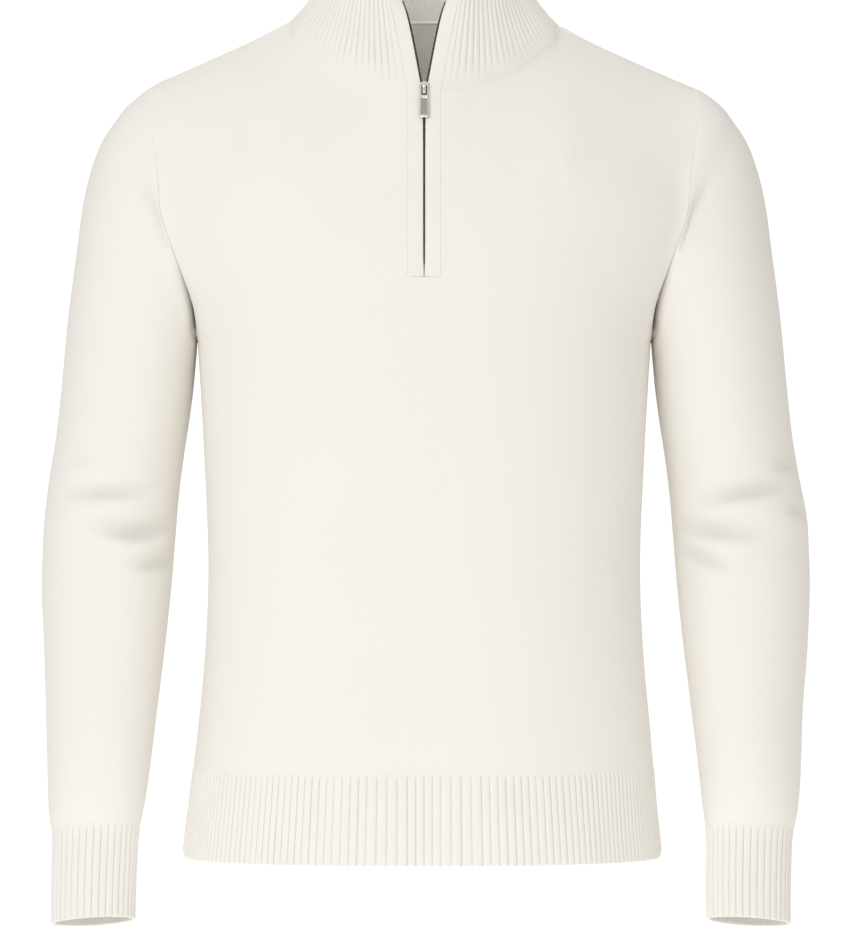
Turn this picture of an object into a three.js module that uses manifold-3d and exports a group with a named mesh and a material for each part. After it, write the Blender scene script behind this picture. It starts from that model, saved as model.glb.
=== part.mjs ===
// Quarter zip sweater, filled out as it is worn: a plain knit pullover with set-in sleeves, a ribbed stand
// collar, a ribbed hem and cuffs, and a short metal zip between two plain knit bands.
// Millimetres, +Z up. The front faces -Y and the wearer's left is +X. The origin is on the mid-line,
// level with the two points where the shoulder seams meet the collar.

import * as THREE from 'three';
import { mergeVertices } from 'three/addons/utils/BufferGeometryUtils.js';
import Module from 'manifold-3d';

const { lerp, clamp, smoothstep, degToRad } = THREE.MathUtils;

// Cloth thickness, the rib's rise from valley to crest, and the gap left at each seam
const cloth = { wall: 2.4, ribRise: 1.1, gap: 0.3 };

// Front and back panels, and the mesh steps that cover them from the zip to the side seam
const body = {
  hemEdge: -665,
  hemSeam: -593,
  armpit: -254,
  slotHalf: 13,
  squareness: 2.3,
  columns: 11,
  neckColumns: 6,
  lowerRows: 6,
  yokeRows: 12,
  slotRow: 4,
};

// Level sections of the body below the armpits: half width, and depth to the front and to the back
const bodySections = [
  { height: -665, halfWidth: 190.5, front: 117, back: 116 },
  { height: -593, halfWidth: 184.5, front: 117, back: 114 },
  { height: -508, halfWidth: 175.6, front: 116, back: 106 },
  { height: -440, halfWidth: 172.4, front: 116, back: 99 },
  { height: -370, halfWidth: 174.6, front: 118, back: 101 },
  { height: -310, halfWidth: 177.6, front: 120, back: 109 },
  { height: -254, halfWidth: 181, front: 121, back: 118 },
];

// Shoulder seam, from the neck point to the shoulder point
const shoulder = { neckHalf: 108, tipHalf: 220, drop: 51.6, curve: 0.93, seamY: 8 };

// Neckline and armhole of each panel: how far the neckline reaches from the shoulder seam, how it dips or
// rises on the mid-line, and how far the armhole swings out of the shoulder seam's plane
const cut = {
  front: { neckReach: 94, neckRise: -60, neckCurve: 1.3, armholeSwing: 62 },
  back: { neckReach: 62, neckRise: 7, neckCurve: 1, armholeSwing: 59 },
};

// Half width of the armhole edge, from the armpit (rise 0) to the shoulder point (rise 1)
const armholeEdge = [
  { rise: 0, front: 181, back: 181 },
  { rise: 0.11, front: 182.6, back: 185 },
  { rise: 0.2, front: 188, back: 190 },
  { rise: 0.32, front: 196, back: 197 },
  { rise: 0.43, front: 204, back: 202.5 },
  { rise: 0.5, front: 207.9, back: 205 },
  { rise: 0.66, front: 211, back: 211 },
  { rise: 0.8, front: 215.8, back: 216 },
  { rise: 0.92, front: 219, back: 218.8 },
  { rise: 1, front: 220, back: 220 },
];

// Depth of the chest and of the upper back on the mid-line, from the armpit level to the neckline
const midLine = [
  { rise: 0, front: 121, back: 118 },
  { rise: 0.15, front: 121.3, back: 122 },
  { rise: 0.3, front: 122.8, back: 125 },
  { rise: 0.45, front: 119, back: 120 },
  { rise: 0.6, front: 111.5, back: 112 },
  { rise: 0.75, front: 103, back: 101 },
  { rise: 0.9, front: 93, back: 84.5 },
  { rise: 1, front: 86, back: 70 },
];

// A table of sections with one number in each column
function sectionTable(rows) {
  return rows.map(({ outer, inner, ...row }) => (
    { ...row, outerX: outer[0], outerZ: outer[1], innerX: inner[0], innerZ: inner[1] }
  ));
}

// How the yoke's cloth evens itself out: rounds, the pull in each, and the rise from which it acts
const settling = { passes: 14, strength: 0.5, from: 0.5, full: 0.85 };

// Sections of a sleeve, from the armhole seam to the cuff seam: the outer and the inner end of each section
// as x and z, its half depth, the y of its middle, how many degrees its front is tipped up, and the mesh steps
// to the next
const sleeveSections = sectionTable([
  { at: 1, outer: [243.5, -69.5], inner: [184.5, -254.6], depth: 63, middle: 5, tip: 0, steps: 1 },
  { at: 2, outer: [262.5, -97], inner: [185, -257], depth: 64, middle: 6, tip: 0, steps: 1 },
  { at: 3, outer: [273.5, -137], inner: [185.5, -262], depth: 65, middle: 7, tip: 0, steps: 1 },
  { at: 4, outer: [280, -186], inner: [186, -272], depth: 65, middle: 8, tip: 0, steps: 1 },
  { at: 5, outer: [285.5, -236], inner: [187.5, -290], depth: 64, middle: 9, tip: 0, steps: 1 },
  { at: 6, outer: [290, -283], inner: [190, -316], depth: 62, middle: 10, tip: 0, steps: 2 },
  { at: 7, outer: [295, -328], inner: [193.5, -345], depth: 60, middle: 12, tip: -3, steps: 4 },
  { at: 8, outer: [301.5, -368], inner: [197, -378], depth: 58, middle: 14, tip: -2, steps: 4 },
  { at: 9, outer: [305.5, -408], inner: [199.5, -408], depth: 56, middle: 14, tip: 2, steps: 4 },
  { at: 10, outer: [306.5, -448], inner: [203, -440], depth: 54, middle: 10, tip: 7, steps: 2 },
  { at: 11, outer: [304.5, -492], inner: [208, -482], depth: 51, middle: 3, tip: 10, steps: 1 },
  { at: 12, outer: [302.5, -536], inner: [213, -526], depth: 48, middle: -5, tip: 11, steps: 1 },
  { at: 13, outer: [300.8, -580], inner: [218, -571], depth: 44, middle: -14, tip: 11.5, steps: 1 },
  { at: 14, outer: [299.8, -615], inner: [222, -607], depth: 39, middle: -21, tip: 12, steps: 1 },
  { at: 15, outer: [299, -633], inner: [224.5, -626], depth: 34.5, middle: -25, tip: 12, steps: 1 },
  { at: 16, outer: [295, -641], inner: [227, -635], depth: 27, middle: -26.5, tip: 12, steps: 1 },
]);

// Sections of a cuff below its seam
const cuffSections = sectionTable([
  { at: 1, outer: [294.3, -647], inner: [227.2, -641], depth: 26.6, middle: -27.8, tip: 12 },
  { at: 2, outer: [292.6, -716], inner: [227.6, -712], depth: 26.3, middle: -42, tip: 12 },
]);

// The largest folds, at the elbows: height of the fold's middle, where it lies round the sleeve (0 degrees at
// the outside, 90 at the front), how far it reaches to each side, its drop and bow over that reach, and its
// half width and depth. Beside each fold the cloth stands up a little, more so with a larger foldShoulder.
// The right sleeve and the left one are creased differently.
const foldShoulder = 0.7;
const folds = {
  right: [
    { height: -377, around: 88, reach: 52, drop: 0, bow: 3, halfWidth: 9, depth: 4.2 },
    { height: -408, around: 118, reach: 58, drop: -1, bow: 12, halfWidth: 9, depth: 4 },
    { height: -434, around: 140, reach: 40, drop: 2, bow: 2, halfWidth: 8, depth: 2.6 },
    { height: -352, around: 58, reach: 30, drop: 0, bow: 0, halfWidth: 9, depth: 1.8 },
    { height: -392, around: 262, reach: 55, drop: 5, bow: 6, halfWidth: 11, depth: 2.4 },
    { height: -424, around: 225, reach: 45, drop: -5, bow: 8, halfWidth: 10, depth: 2.6 },
  ],
  left: [
    { height: -377, around: 86, reach: 56, drop: -9, bow: -2, halfWidth: 9, depth: 4.2 },
    { height: -408, around: 114, reach: 64, drop: 3, bow: 4, halfWidth: 9, depth: 4 },
    { height: -429, around: 130, reach: 42, drop: 9, bow: 0, halfWidth: 8, depth: 3 },
    { height: -356, around: 34, reach: 28, drop: 0, bow: 0, halfWidth: 8, depth: 2 },
    { height: -391, around: 30, reach: 28, drop: 3, bow: 0, halfWidth: 8, depth: 2 },
    { height: -398, around: 250, reach: 60, drop: 7, bow: 7, halfWidth: 11, depth: 2.4 },
    { height: -430, around: 222, reach: 45, drop: -4, bow: 6, halfWidth: 10, depth: 2.4 },
  ],
};

// Mesh steps round a sleeve, and ribs for each step of the hem, the collar and the cuffs
const sleeveSteps = 24;
const ribs = { hemPerStep: 4, collarPerStep: 4, cuffs: 36, startBelowSeam: 6 };

// Collar: its top edge is part of an ellipse that is open at the front, highest at the back of the neck
const collar = {
  halfWidth: 68,
  frontDepth: 64,
  backDepth: 58,
  middleY: 1,
  openAngle: 24,
  frontTop: 17,
  backTop: 80,
  climb: 0.6,
  rows: [0, 0.15, 0.45, 0.75, 1],
};

// How quickly the collar leans in from its seam, by the angle round the neck from the front
const collarLean = [
  { angle: 24, lean: 0.85 },
  { angle: 90, lean: 1.75 },
  { angle: 180, lean: 1.15 },
];

// Zip: the knit bands that fill the opening, the tapes behind them, and half of the gap between the bands at
// its bottom end, along the closed teeth and at the slider
const zip = {
  bandWidth: 12,
  bandRise: 0.4,
  bandCrown: 0.35,
  tapeWall: 1,
  tapeInset: 0.6,
  tapeGap: 0.5,
  bottomHalf: 0.2,
  closedHalf: 0.8,
  sliderHalf: 1.1,
};

// Slider and pull tab, in the plane of the bands at the top of the closed part. Heights run up the bands and
// offsets run out from them.
const slider = {
  height: -57.5,
  slope: 19.3,
  clear: 0.35,
  plate: { top: 5.9, bottom: -5.6, halfTop: 4, halfBottom: 3, wall: 1, corner: 1.2 },
  neck: { top: 5.4, bottom: 3.1, half: 1.2 },
  bridge: { top: 5.7, bottom: 0.5, post: 1, half: 1.1, under: 3.45, over: 4.25 },
};
const pull = {
  pivot: { up: 3.5, out: 2.3 },
  wall: 1.1,
  top: 4.1,
  bottom: -24.5,
  halfTop: 2.9,
  halfBottom: 4,
  corner: 1.5,
  slot: { top: 2.9, bottom: -4.6, half: 1.9, corner: 0.8 },
  panel: { top: -8, bottom: -22, half: 2.6, corner: 1, sunk: 0.3 },
};

const knit = new THREE.MeshStandardMaterial({ color: '#f0ede5', roughness: 0.92, metalness: 0 });
const ribKnit = new THREE.MeshStandardMaterial({ color: '#eeebe3', roughness: 0.92, metalness: 0 });
const tapeWeave = new THREE.MeshStandardMaterial({ color: '#e6e2d8', roughness: 0.85, metalness: 0 });
const zipMetal = new THREE.MeshStandardMaterial({ color: '#c4c2bd', roughness: 0.32, metalness: 1 });

const vector = (x, y, z) => new THREE.Vector3(x, y, z);
const between = (a, b, share) => a.clone().lerp(b, share);
const range = (count) => Array.from({ length: count }, (_, n) => n);
const power = (base, exponent) => Math.max(base, 0) ** exponent;

// One column of a table, read on a smooth curve that never swings past the rows beside it
function read(table, key, column, at) {
  const last = table.length - 1;
  const ends = [table[0][key], table[last][key]];
  const place = clamp(at, Math.min(...ends), Math.max(...ends));
  const found = table.findIndex((row, n) => n > 0 && (row[key] - place) * (ends[1] - ends[0]) >= 0);
  const n = found - 1;
  const slope = (m) => (table[m + 1][column] - table[m][column]) / (table[m + 1][key] - table[m][key]);
  const tangent = (m) => {
    if (m === 0) return slope(0);
    if (m === last) return slope(last - 1);
    const product = slope(m - 1) * slope(m);
    return product <= 0 ? 0 : (2 * product) / (slope(m - 1) + slope(m));
  };
  const width = table[n + 1][key] - table[n][key];
  const t = (place - table[n][key]) / width;
  const start = (1 + 2 * t) * (1 - t) ** 2 * table[n][column] + t * (1 - t) ** 2 * width * tangent(n);
  const end = t * t * (3 - 2 * t) * table[n + 1][column] + t * t * (t - 1) * width * tangent(n + 1);
  return start + end;
}

// Directions square to a grid of points, outward where its rows and columns run the right way round
function gridNormals(grid, ring) {
  const at = (row, n) => (ring ? row[(n + row.length) % row.length] : row[clamp(n, 0, row.length - 1)]);
  return grid.map((row, m) => row.map((point, n) => {
    const along = at(row, n + 1).clone().sub(at(row, n - 1));
    const over = grid[Math.min(m + 1, grid.length - 1)][n].clone().sub(grid[Math.max(m - 1, 0)][n]);
    return along.cross(over).normalize();
  }));
}

// The direction that two panels share where they are sewn together, so that both end on one seam surface
function seamDirection(first, second) {
  const share = smoothstep(first.dot(second), -0.2, 0.5);
  return first.clone().addScaledVector(second, share).normalize();
}

// Where the second panel starts: each seam point, moved off the first panel by the seam's gap
function seamShift(points, directions, ring) {
  const count = points.length;
  return points.map((point, n) => {
    const next = points[ring ? (n + 1) % count : Math.min(n + 1, count - 1)];
    const before = points[ring ? (n + count - 1) % count : Math.max(n - 1, 0)];
    return directions[n].clone().cross(next.clone().sub(before)).normalize().multiplyScalar(cloth.gap);
  });
}

const offset = (points, directions, distance) =>
  points.map((row, m) => row.map((point, n) => point.clone().addScaledVector(directions[m][n], distance)));

// The triangles of a closed wall between an outer and an inner grid of points. An inner step may span several
// outer ones, as behind ribs. Cells that keep refuses are left open, with an edge all round them.
function wall({ outer, inner, ring = false, keep = () => true }) {
  const triangles = [];
  const outerAt = (m, n) => outer[m][n % outer[m].length];
  const innerAt = (m, n) => inner[m][n % inner[m].length];
  const cells = ring ? inner[0].length : inner[0].length - 1;
  const ratio = (ring ? outer[0].length : outer[0].length - 1) / cells;
  const layers = outer.length - 1;
  const rank = (point) => point.z + 0.1 * Math.abs(point.x);
  const quad = (a, b, c, d) => {
    if (a.distanceToSquared(c) <= b.distanceToSquared(d)) triangles.push([a, b, c], [a, c, d]);
    else triangles.push([a, b, d], [b, c, d]);
  };
  const edge = (run, a, b) => {
    const higher = rank(run[0]) > rank(run[1]) ? 0 : 1;
    const middle = run.length === 2 ? higher : Math.floor(run.length / 2);
    range(run.length - 1).forEach((n) => triangles.push([run[n], run[n + 1], n < middle ? a : b]));
    triangles.push([run[middle], b, a]);
  };
  const open = (m, n) => {
    if (m < 0 || m >= layers) return true;
    if (!ring && (n < 0 || n >= cells)) return true;
    return !keep(m, (n + cells) % cells);
  };
  for (const m of range(layers)) {
    for (const n of range(cells)) {
      if (open(m, n)) continue;
      const first = n * ratio;
      for (const step of range(ratio)) {
        const k = first + step;
        quad(outerAt(m, k), outerAt(m, k + 1), outerAt(m + 1, k + 1), outerAt(m + 1, k));
      }
      quad(innerAt(m, n), innerAt(m + 1, n), innerAt(m + 1, n + 1), innerAt(m, n + 1));
      const run = (row) => range(ratio + 1).map((step) => outerAt(row, first + step));
      if (open(m - 1, n)) edge(run(m).reverse(), innerAt(m, n + 1), innerAt(m, n));
      if (open(m + 1, n)) edge(run(m + 1), innerAt(m + 1, n), innerAt(m + 1, n + 1));
      const side = (rows, k, j) => {
        const [a, b] = rows.map((row) => innerAt(row, j));
        edge(rows.map((row) => outerAt(row, k)), a, b);
      };
      if (open(m, n - 1)) side([m, m + 1], first, n);
      if (open(m, n + 1)) side([m + 1, m], first + ratio, n + 1);
    }
  }
  return triangles;
}

function meshOf(name, geometry, material) {
  const mesh = new THREE.Mesh(geometry, material);
  mesh.name = name;
  return mesh;
}

// A mesh of a wall's triangles, and on the other side of the body its mirror image
function clothMesh(name, triangles, material, mirrored = false) {
  const flip = mirrored ? -1 : 1;
  const corners = triangles.flatMap((corner) => (mirrored ? [corner[0], corner[2], corner[1]] : corner));
  const positions = corners.flatMap((point) => [point.x * flip, point.y, point.z]);
  const geometry = new THREE.BufferGeometry();
  geometry.setAttribute('position', new THREE.Float32BufferAttribute(positions, 3));
  geometry.computeVertexNormals();
  return meshOf(name, geometry, material);
}

// Body panels

const facing = (face) => (face < 0 ? 'front' : 'back');

// The top edge of a panel: the neckline up to the neck point, then the shoulder seam
function topEdge(face, column) {
  const { neckHalf, tipHalf, drop, curve, seamY } = shoulder;
  if (column > body.neckColumns) {
    const share = (column - body.neckColumns) / (body.columns - body.neckColumns);
    return vector(lerp(neckHalf, tipHalf, share), seamY, -drop * share ** curve);
  }
  const { neckReach, neckRise, neckCurve } = cut[facing(face)];
  const angle = lerp(Math.asin(body.slotHalf / neckHalf), Math.PI / 2, column / body.neckColumns);
  const reach = seamFree(Math.cos(angle));
  const y = seamY + face * neckReach * reach;
  return vector(neckHalf * Math.sin(angle), y, neckRise * power(reach, neckCurve));
}

// A cosine at a right angle is a hair off zero, which would tilt a seam
function seamFree(value) {
  return Math.abs(value) < 1e-9 ? 0 : value;
}

// A level section of the body below the armpits
function lowerPoint(face, side, column, height) {
  const angle = (column / body.columns) * (Math.PI / 2);
  const halfWidth = read(bodySections, 'height', 'halfWidth', height);
  const depth = read(bodySections, 'height', facing(face), height);
  const exponent = 2 / body.squareness;
  const x = body.slotHalf + (halfWidth - body.slotHalf) * power(Math.sin(angle), exponent);
  const y = face * depth * power(seamFree(Math.cos(angle)), exponent);
  return vector(side * x, y, height);
}

// The yoke above the armpits. Its sections shorten towards the shoulder seam and fold over onto it.
function yokePoint(face, side, column, up) {
  const rise = (1 - Math.cos(Math.PI * up)) / 2;
  const panel = facing(face);
  const edge = read(armholeEdge, 'rise', panel, rise) - body.slotHalf;
  const swing = (2 * Math.sqrt(rise)) / Math.sqrt((1 + rise) * (1 + rise * rise));
  const edgeDepth = cut[panel].armholeSwing * swing;
  const middleDepth = read(midLine, 'rise', panel, rise) - face * shoulder.seamY * rise;
  const squareness = lerp(body.squareness, 2, smoothstep(rise, 0, 1));
  const full = edge / (1 - (edgeDepth / middleDepth) ** squareness) ** (1 / squareness);
  const depthAt = (across, depth, width, square) => depth * power(1 - (across / width) ** square, 1 / square);

  const top = topEdge(face, column);
  const lowShare = power(Math.sin((column / body.columns) * (Math.PI / 2)), 2 / body.squareness);
  const topShare = (top.x - body.slotHalf) / (shoulder.tipHalf - body.slotHalf);
  const across = edge * lerp(lowShare, topShare, smoothstep(rise, 0, 0.7));

  const topMiddle = cut[panel].neckReach;
  const topEdgeDepth = cut[panel].armholeSwing;
  const topFull = (shoulder.tipHalf - body.slotHalf) / Math.sqrt(1 - (topEdgeDepth / topMiddle) ** 2);
  const topDepth = depthAt(top.x - body.slotHalf, topMiddle, topFull, 2);
  const folded = 1 - (face * (top.y - shoulder.seamY)) / topDepth;
  const fold = 1 - Math.sqrt(1 - Math.min(rise, 1) ** 4);

  const depth = depthAt(across, middleDepth, full, squareness) * (1 - fold * folded);
  const y = shoulder.seamY * rise + face * depth;
  return vector(side * (body.slotHalf + across), y, lerp(body.armpit, top.z, rise));
}

// A point of a panel: up runs from -1 at the hem seam to 0 at the armpits and 1 at the top edge
function panelPoint(face, side, column, up) {
  const seamHeight = body.hemSeam + cloth.gap / 2;
  const point = up <= 0
    ? lowerPoint(face, side, column, lerp(body.armpit, seamHeight, -up))
    : yokePoint(face, side, column, up);
  const onSideSeam = column === body.columns && up <= 0;
  const onShoulderSeam = column >= body.neckColumns && up === 1;
  if (onSideSeam || onShoulderSeam) point.y += (face * cloth.gap) / 2;
  return point;
}

// Columns run round the body against the clock, so the back's are listed from the wearer's left
function panelColumns(face) {
  const columns = range(body.columns + 1);
  const first = columns.map((column) => ({ side: face, column })).reverse();
  const second = columns.map((column) => ({ side: -face, column }));
  return [...first, ...second];
}

const panelRows = [
  ...range(body.lowerRows).map((row) => row / body.lowerRows - 1),
  ...range(body.yokeRows + 1).map((row) => row / body.yokeRows),
];

// Knit cloth evens itself out between its seams: the yoke's inner points are drawn towards their neighbours,
// the more so the nearer they are to the shoulder
function relax(grid, columns) {
  const { passes, strength, from, full } = settling;
  range(passes).forEach(() => {
    const before = grid.map((row) => row.map((point) => point.clone()));
    for (const m of range(body.yokeRows - 1)) {
      const row = body.lowerRows + 1 + m;
      const rise = (1 - Math.cos(Math.PI * panelRows[row])) / 2;
      const share = strength * smoothstep(rise, from, full);
      columns.forEach(({ column }, n) => {
        if (column === 0 || column === body.columns) return;
        const around = [before[row - 1][n], before[row + 1][n], before[row][n - 1], before[row][n + 1]];
        const middle = around.reduce((sum, point) => sum.add(point), vector(0, 0, 0)).divideScalar(4);
        grid[row][n].lerp(middle, share);
      });
    }
  });
  return grid;
}

function panelGrid(face) {
  const columns = panelColumns(face);
  const grid = panelRows.map((up) => columns.map(({ side, column }) => panelPoint(face, side, column, up)));
  return relax(grid, columns);
}

const panels = { front: { face: -1, points: panelGrid(-1) }, back: { face: 1, points: panelGrid(1) } };
for (const panel of Object.values(panels)) panel.normals = gridNormals(panel.points, false);

// Sleeves, made for the wearer's left side (+X)

// A point of the armhole, by its step round from the shoulder point over the front to the armpit and back
function armholePoint(step) {
  const half = sleeveSteps / 2;
  const point = step <= half
    ? panelPoint(-1, 1, body.columns, 1 - step / half)
    : panelPoint(1, 1, body.columns, step / half - 1);
  if (step === 0) point.y = shoulder.seamY;
  if (step === half) point.y = 0;
  return point;
}

// A section of a sleeve or a cuff, by its number in the table
function tubeSection(table, at, count) {
  const values = ['outerX', 'outerZ', 'innerX', 'innerZ', 'depth', 'middle', 'tip']
    .map((column) => read(table, 'at', column, at));
  const [outerX, outerZ, innerX, innerZ, depth, middle, tip] = values;
  return range(count).map((step) => {
    const angle = (step / count) * 2 * Math.PI;
    const share = (1 + Math.cos(angle)) / 2;
    const forward = depth * Math.sin(angle);
    return vector(
      lerp(innerX, outerX, share),
      middle - forward * Math.cos(degToRad(tip)),
      lerp(innerZ, outerZ, share) + forward * Math.sin(degToRad(tip)),
    );
  });
}

// How far the folds push the cloth in or out at a height and an angle round the sleeve
function foldDepth(table, height, degrees) {
  return table.reduce((sum, fold) => {
    const turn = ((degrees - fold.around + 540) % 360) - 180;
    const along = turn / fold.reach;
    if (Math.abs(along) >= 1) return sum;
    const across = (height - fold.height - fold.drop * along - fold.bow * along * along) / fold.halfWidth;
    const trough = (1 - foldShoulder * across ** 2) * Math.exp(-(across ** 2));
    return sum - fold.depth * Math.cos((along * Math.PI) / 2) ** 2 * trough;
  }, 0);
}

const armhole = range(sleeveSteps).map(armholePoint);

const sleeveRows = [
  armhole,
  ...sleeveSections.flatMap(({ at, steps }) => {
    const places = at === sleeveSections.length ? [at] : range(steps).map((step) => at + step / steps);
    return places.map((place) => tubeSection(sleeveSections, place, sleeveSteps));
  }),
];
const sleeveNormals = gridNormals(sleeveRows, true);

// The panel direction at each armhole point, then the direction shared with the sleeve there
const ridgeDirection = (first, second) => {
  const along = second.clone().sub(first).setY(0).normalize();
  return vector(-along.z, 0, along.x);
};
const shoulderTip = ridgeDirection(topEdge(-1, body.columns - 1), topEdge(-1, body.columns));
const armholeDirections = armhole.map((point, step) => {
  const half = sleeveSteps / 2;
  if (step === 0) return seamDirection(shoulderTip, sleeveNormals[0][0]);
  if (step === half) return seamDirection(vector(1, 0, 0), sleeveNormals[0][half]);
  const front = step < half;
  const row = body.lowerRows + (front ? half - step : step - half);
  const { normals } = front ? panels.front : panels.back;
  const last = normals[row].length - 1;
  return seamDirection(normals[row][front ? last : 0], sleeveNormals[0][step]);
});
const armholeShift = seamShift(armhole, armholeDirections, true);

function sleeveTriangles(table) {
  const last = sleeveRows.length - 1;
  const directions = sleeveNormals.map((row, m) => (m === 0 ? armholeDirections : row));
  const cuffSeam = directions[last].map((direction) => direction.clone());
  const axis = cuffAxis();
  cuffSeam.forEach((direction) => direction.addScaledVector(axis, -direction.dot(axis)).normalize());
  directions[last] = cuffSeam;
  const outer = sleeveRows.map((row, m) => row.map((point, n) => {
    if (m === 0) return point.clone().add(armholeShift[n]);
    if (m >= last - 1) return point.clone();
    const depth = foldDepth(table, point.z, (n / sleeveSteps) * 360);
    return point.clone().addScaledVector(directions[m][n], depth);
  }));
  return wall({ outer, inner: offset(outer, directions, -cloth.wall), ring: true });
}

// Cuffs: the seam row lies on the straight steps of the sleeve's end, and the ribs rise below it

// The direction that the cuff seam's plane faces, down the sleeve
function cuffAxis() {
  const seam = sleeveRows[sleeveRows.length - 1];
  const across = seam[0].clone().sub(seam[sleeveSteps / 2]);
  const forward = seam[sleeveSteps / 4].clone().sub(seam[(3 * sleeveSteps) / 4]);
  return across.cross(forward).normalize();
}

function cuffTriangles() {
  const count = ribs.cuffs * 2;
  const perStep = count / sleeveSteps;
  const sleeveEnd = sleeveRows[sleeveRows.length - 1];
  const seam = sleeveEnd.map((point) => point.clone().addScaledVector(cuffAxis(), cloth.gap));
  const seamRow = range(count).map((n) => {
    const step = Math.floor(n / perStep);
    return between(seam[step], seam[(step + 1) % sleeveSteps], n / perStep - step);
  });
  const base = [seamRow, ...cuffSections.map(({ at }) => tubeSection(cuffSections, at, count))];
  const directions = gridNormals(base, true);
  const axis = cuffAxis();
  directions[0].forEach((direction) => direction.addScaledVector(axis, -direction.dot(axis)).normalize());
  const outer = base.map((row, m) => row.map((point, n) => {
    const rise = m === 0 ? 0 : (cloth.ribRise / 2) * (n % 2 === 0 ? -1 : 1);
    return point.clone().addScaledVector(directions[m][n], rise);
  }));
  const inner = base.map((row, m) => range(sleeveSteps).map((step) => {
    const n = step * perStep;
    return row[n].clone().addScaledVector(directions[m][n], -cloth.wall);
  }));
  return wall({ outer, inner, ring: true });
}

// Collar: starts at the zip on the wearer's left, runs round the back and ends at the zip on the right

// The neckline as a chain of points with the panel directions there
function neckline() {
  const top = panelRows.length - 1;
  const steps = range(body.neckColumns);
  const node = (panel, index) => ({ point: panel.points[top][index], normal: panel.normals[top][index] });
  const middle = body.columns + 1;
  const neckPoint = (side) => {
    const ridge = ridgeDirection(topEdge(-1, body.neckColumns), topEdge(-1, body.neckColumns + 1));
    const { neckHalf, seamY } = shoulder;
    return { point: vector(side * neckHalf, seamY, 0), normal: vector(side * ridge.x, 0, ridge.z) };
  };
  return [
    ...steps.map((column) => node(panels.front, middle + column)),
    neckPoint(1),
    ...steps.map((column) => node(panels.back, middle - 1 - column)).reverse(),
    ...steps.map((column) => node(panels.back, middle + column)),
    neckPoint(-1),
    ...steps.map((column) => node(panels.front, middle - 1 - column)).reverse(),
  ];
}

// A point of the collar's top edge, by the share of the way round it
function collarTop(share) {
  const { halfWidth, frontDepth, backDepth, middleY, openAngle, frontTop, backTop, climb } = collar;
  const angle = degToRad(lerp(openAngle, 360 - openAngle, share));
  const ahead = Math.cos(angle);
  const start = Math.cos(degToRad(openAngle));
  const depth = ahead > 0 ? frontDepth : backDepth;
  const height = lerp(frontTop, backTop, power((start - ahead) / (start + 1), climb));
  return vector(halfWidth * Math.sin(angle), middleY - depth * ahead, height);
}

// A point of the collar between its seam and its top edge
function collarPoint(seamPoint, share, up) {
  const top = collarTop(share);
  const degrees = lerp(collar.openAngle, 360 - collar.openAngle, share);
  const lean = read(collarLean, 'angle', 'lean', Math.min(degrees, 360 - degrees));
  const inward = 1 - (1 - up) ** lean;
  const { x, y, z } = seamPoint;
  return vector(lerp(x, top.x, inward), lerp(y, top.y, inward), lerp(z, top.z, up));
}

const neckNodes = neckline();
const neckSteps = neckNodes.length - 1;
const collarRow = (up) => neckNodes.map(({ point }, n) => collarPoint(point, n / neckSteps, up));
const collarNodes = collar.rows.map(collarRow);
const collarNormals = gridNormals(collarNodes, false);
const neckDirections = neckNodes.map(({ normal }, n) => seamDirection(normal, collarNormals[0][n]));
for (const end of [0, neckSteps]) neckDirections[end].setX(0).normalize();
const neckShift = seamShift(neckNodes.map(({ point }) => point), neckDirections, false);

function collarTriangles() {
  const perStep = ribs.collarPerStep * 2;
  const count = neckSteps * perStep + 1;
  const seam = neckNodes.map(({ point }, n) => point.clone().add(neckShift[n]));
  const base = collar.rows.map((up) => range(count).map((n) => {
    const step = Math.min(Math.floor(n / perStep), neckSteps - 1);
    const point = between(seam[step], seam[step + 1], n / perStep - step);
    return collarPoint(point, n / (count - 1), up);
  }));
  const directions = gridNormals(base, false);
  // The front edges lie flat beside the zip and turn with the collar only towards its top
  collar.rows.forEach((up, m) => {
    for (const n of [0, count - 1]) directions[m][n].setX(directions[m][n].x * up).normalize();
  });
  const outer = base.map((row, m) => row.map((point, n) => {
    const onSeam = m === 0 || n === 0 || n === count - 1;
    const rise = onSeam ? 0 : (cloth.ribRise / 2) * (n % 2 === 0 ? -1 : 1);
    return point.clone().addScaledVector(directions[m][n], rise);
  }));
  const inner = base.map((row, m) => range(neckSteps + 1).map((step) => {
    const n = step * perStep;
    const direction = m === 0 ? neckDirections[step] : directions[m][n];
    return row[n].clone().addScaledVector(direction, -cloth.wall);
  }));
  return { triangles: wall({ outer, inner }), base, directions };
}

// Directions through each panel's wall, with the shared ones on its seams

function panelDirections(name) {
  const { face, points, normals } = panels[name];
  const columns = panelColumns(face);
  const top = panelRows.length - 1;
  return points.map((row, m) => row.map((point, n) => {
    const { side, column } = columns[n];
    const mirrored = (direction) => vector(direction.x * side, direction.y, direction.z);
    if (column === body.columns && m < body.lowerRows) return vector(side, 0, 0);
    if (column === body.columns) {
      const half = sleeveSteps / 2;
      const risen = m - body.lowerRows;
      const step = face < 0 ? half - risen : (half + risen) % sleeveSteps;
      return mirrored(armholeDirections[step]);
    }
    if (m === top && column >= body.neckColumns) {
      if (column === body.neckColumns) return mirrored(neckDirections[body.neckColumns]);
      return mirrored(ridgeDirection(topEdge(face, column - 1), topEdge(face, column + 1)));
    }
    if (m === top) return mirrored(neckDirections[face < 0 ? column : neckNodes.length / 2 - 1 - column]);
    const direction = normals[m][n].clone();
    if (m === 0) direction.setZ(0);
    if (column === 0) direction.setX(0);
    return direction.normalize();
  }));
}

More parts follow.
